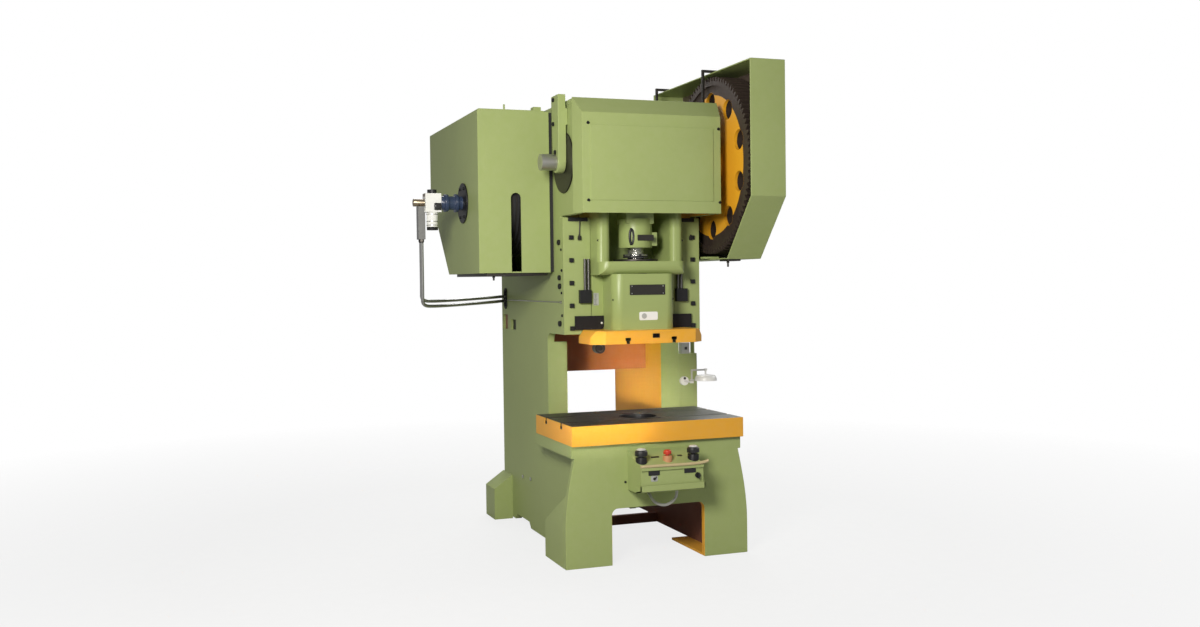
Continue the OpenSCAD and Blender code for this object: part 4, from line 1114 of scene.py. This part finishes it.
# %% Label the control box
lid_low, lid_high = seat("control_box", TOP, -60, -440), seat("control_box", TOP, -60, -400)
LID = RIGHT.cross((lid_high - lid_low).normalized())
LID_PLATES, FRONT_PLATES = {(-63, -428): 52, (97, -428): 30}, {(-117, 575): 72, (113, 576): 75}
legend = Shape()
for across, wide in LID_PLATES.items():
    legend.slab(rounded(wide, 15, 2), seat("control_box", TOP, *across), LID, 2)
for across, wide in FRONT_PLATES.items():
    legend.slab(rounded(wide, 28, 3), seat("control_box", FRONT, *across), FRONT, 3)
legend.piece("box_legend_plates", "frame", "black_plastic")

DIAL_AT, DIAL_DEPTH = (-116, 542), 2
dial = Shape()
dial_foot = seat("control_box", FRONT, *DIAL_AT)
dial.slab(rounded(44, 34, 8), dial_foot, FRONT, DIAL_DEPTH)
dial.piece("box_dial_plate", "frame", "grey_plastic")
pointer = Shape()
pointer.turned(dial_foot + DIAL_DEPTH * FRONT, FRONT, [(8, -SUNK), (8, 4), (6, 6)])
pointer.slab([(-2, -6), (2, -6), (13, 12), (10, 14)], dial_foot + 6 * FRONT, FRONT, 3, 0.3)
pointer.piece("box_dial_pointer", "frame", "black_plastic")
print("lid slope:", [round(v, 3) for v in LID])

# %% [markdown]
# A worn beige rail runs along the front edge of the box, where hands rest, and turns up at its right end.
# The shelf below has a raised lip with two cheeks.

# %% Fit the rail and the shelf lip
RAIL_Z, RAIL_RADIUS = 617, 9
box_front = edge("control_box", "y0")
RAIL_BENDS = ((-203, 4, 0), (-100, 1, 0), (60, 0, -1), (160, -2, 1), (205, -5, 7), (226, -10, 15))
rail = Shape()
rail.tube(curve([(x, box_front + back, RAIL_Z + up) for x, back, up in RAIL_BENDS]), RAIL_RADIUS)
rail.piece("box_rail", "frame", "bronze", BEIGE_TRIM)

SHELF_Z, SHELF_HALF, CHEEK = 455, 207, 6
lip = Shape()
shelf_y = seat("control_box", FRONT, 0, SHELF_Z).y + 1
lip_back, lip_front = box_front + 3, box_front - 2
tray = [(shelf_y, 451), (shelf_y, 459), (lip_back, 475), (lip_back, 503), (lip_front, 503),
        (lip_front, 469)]
cheek = [tray[0], (shelf_y, 496), tray[4], tray[5]]
lip.bar(tray, (-SHELF_HALF, SHELF_HALF))
lip.bar(cheek, (-SHELF_HALF, CHEEK - SHELF_HALF))
lip.bar(cheek, (SHELF_HALF - CHEEK, SHELF_HALF))
lip.piece("box_shelf_lip", "frame", "green_paint")
print("rail and shelf lip fitted")

# %% [markdown]
# Each palm button wears a pale grey crown, a painted highlight on its top, which rides the button and goes
# down with it. The lamp's base has a black screw, and its switch box a rocker.

# %% Crown the buttons and fit the lamp's trim
# The crown's pale grey is a painted highlight on the black button.
CROWN = [(27, -SUNK), (27, 2), (24, 6), (16, 9), (6, 10)]
for side in ("left", "right"):
    button = f"{side}_palm_button"
    crown = Shape()
    crown.turned(Vector((middle(button).x, middle(button).y, edge(button, "z1"))), TOP, CROWN, 32)
    crown.piece(f"{side}_palm_highlight_crown", f"{side}_palm", "grey_plastic", HIGHLIGHT_CROWN)

KNOB_UP = 18
knob = Shape()
lamp_base = middle("lamp_base")
knob_foot = seat("lamp_base", FRONT, lamp_base.x, lamp_base.z + KNOB_UP)
knob.turned(knob_foot, FRONT, [(9, -SUNK), (9, 3), (7, 5)])
knob.piece("lamp_base_screw", "frame", "black_plastic")
rocker = Shape()
switch = middle("lamp_switch_box")
rocker.slab(rounded(18, 20, 3), seat("lamp_switch_box", FRONT, switch.x, switch.z), FRONT, 4)
rocker.piece("lamp_switch_rocker", "frame", "black_plastic")
print("buttons crowned, lamp trimmed")

# %% [markdown]
# The main lamp stands in front and to the left. A low one with a narrow beam reaches into the throat, a
# weak one fills the right, and two more light the right side and the back, so that the press can be looked
# at from all sides. The world is white to the eye, dimmer in reflections, and dim as a light.


# %% Light the studio
def lamp(name, place, target, size, watts, colour=(1, 1, 1), spread=180):
    made = bpy.data.objects.new(name, bpy.data.lights.new(name, "AREA"))
    made.data.spread = math.radians(spread)
    made.data.energy = watts
    made.data.size = size
    made.data.color = colour
    made.location = place
    made.rotation_euler = (target - place).to_track_quat("-Z", "Y").to_euler()
    bpy.context.scene.collection.objects.link(made)


MIDDLE, THROAT = at(0, 300, 1500), at(330, 760, 1010)
WARM, WARMER = (1.0, 0.97, 0.91), (1.0, 0.93, 0.82)
lamp("key", at(-2700, -3500, 2850), MIDDLE, size=1.1, watts=194, colour=WARM)
lamp("low", at(-2700, -3700, 1130), THROAT, size=0.5, watts=1.6, colour=WARMER, spread=7)
lamp("fill", at(3000, -5600, 1800), MIDDLE, size=3.0, watts=18)
lamp("right", at(5200, 600, 4300), MIDDLE, size=3.0, watts=95)
lamp("back", at(1200, 5400, 5200), MIDDLE, size=4.0, watts=270)


class Sky(Finish):
    """The world's nodes, wired in the same way as a finish."""

    def __init__(self, world):
        world.use_nodes = True
        self.tree = world.node_tree


def ray(f, kind):
    """1 for rays of a kind that Light Path names."""
    return f.node("ShaderNodeLightPath", out=f"Is {kind} Ray")


def viewed(f):
    """1 for rays from the eye, and for those that pass through glass."""
    return ray(f, "Camera").either(ray(f, "Transmission"))


AMBIENT, MIRRORED, SEEN = 0.13, 0.35, 1.0
world = bpy.data.worlds.new("studio")
bpy.context.scene.world = world
sky = Sky(world)
background = sky.tree.nodes["Background"]
dim = between(ray(sky, "Glossy"), AMBIENT, MIRRORED)
sky.put(background.inputs["Strength"], between(viewed(sky), dim, SEEN))
sky.put(background.inputs["Color"], (1, 1, 1, 1))
print("lamps and world set")

# %% [markdown]
# The floor is a wide disc. Its middle takes the shadow of the press, and past a few metres it turns clear,
# so no horizon shows. The eye sees it mixed with plain white, which keeps it pale under a modest light.

# %% Lay the floor
FLOOR_RADIUS, FADE_FROM, FADE_TO = 9.0, 2.5, 7.0
FLOOR_GREY, FLOOR_WHITE_SHARE = (0.50, 0.50, 0.49), 0.80
FLOOR_DROP = 0.5 * MM


def floor_finish():
    f = Finish("studio_floor")
    place = f.stretch(f.place(), (1, 1, 0))
    reach = f.node("ShaderNodeVectorMath", {"operation": "LENGTH"}, {0: place}, "Value")
    f.surface(plastic_coat(f, FLOOR_GREY, 0.8))
    grey = Wire(f, f.shader.outputs[0])
    white = f.node("ShaderNodeEmission", None, {"Color": (1, 1, 1, 1), "Strength": 1.0})
    clear = f.node("ShaderNodeBsdfTransparent")
    paled = f.node("ShaderNodeMixShader", None, {0: FLOOR_WHITE_SHARE * viewed(f), 1: grey, 2: white})
    faded = f.node("ShaderNodeMixShader", None, {0: ramp(reach, FADE_FROM, FADE_TO), 1: paled, 2: clear})
    f.put(f.tree.nodes["Material Output"].inputs["Surface"], faded)
    return f.material


floor_mesh = bmesh.new()
bmesh.ops.create_circle(floor_mesh, cap_ends=True, segments=96, radius=FLOOR_RADIUS)
floor_data = bpy.data.meshes.new("floor")
floor_mesh.to_mesh(floor_data)
floor_mesh.free()
floor = bpy.data.objects.new("floor", floor_data)
floor.location = (0, 0, -FLOOR_DROP)
floor_data.materials.append(floor_finish())
bpy.context.scene.collection.objects.link(floor)
print("floor laid")
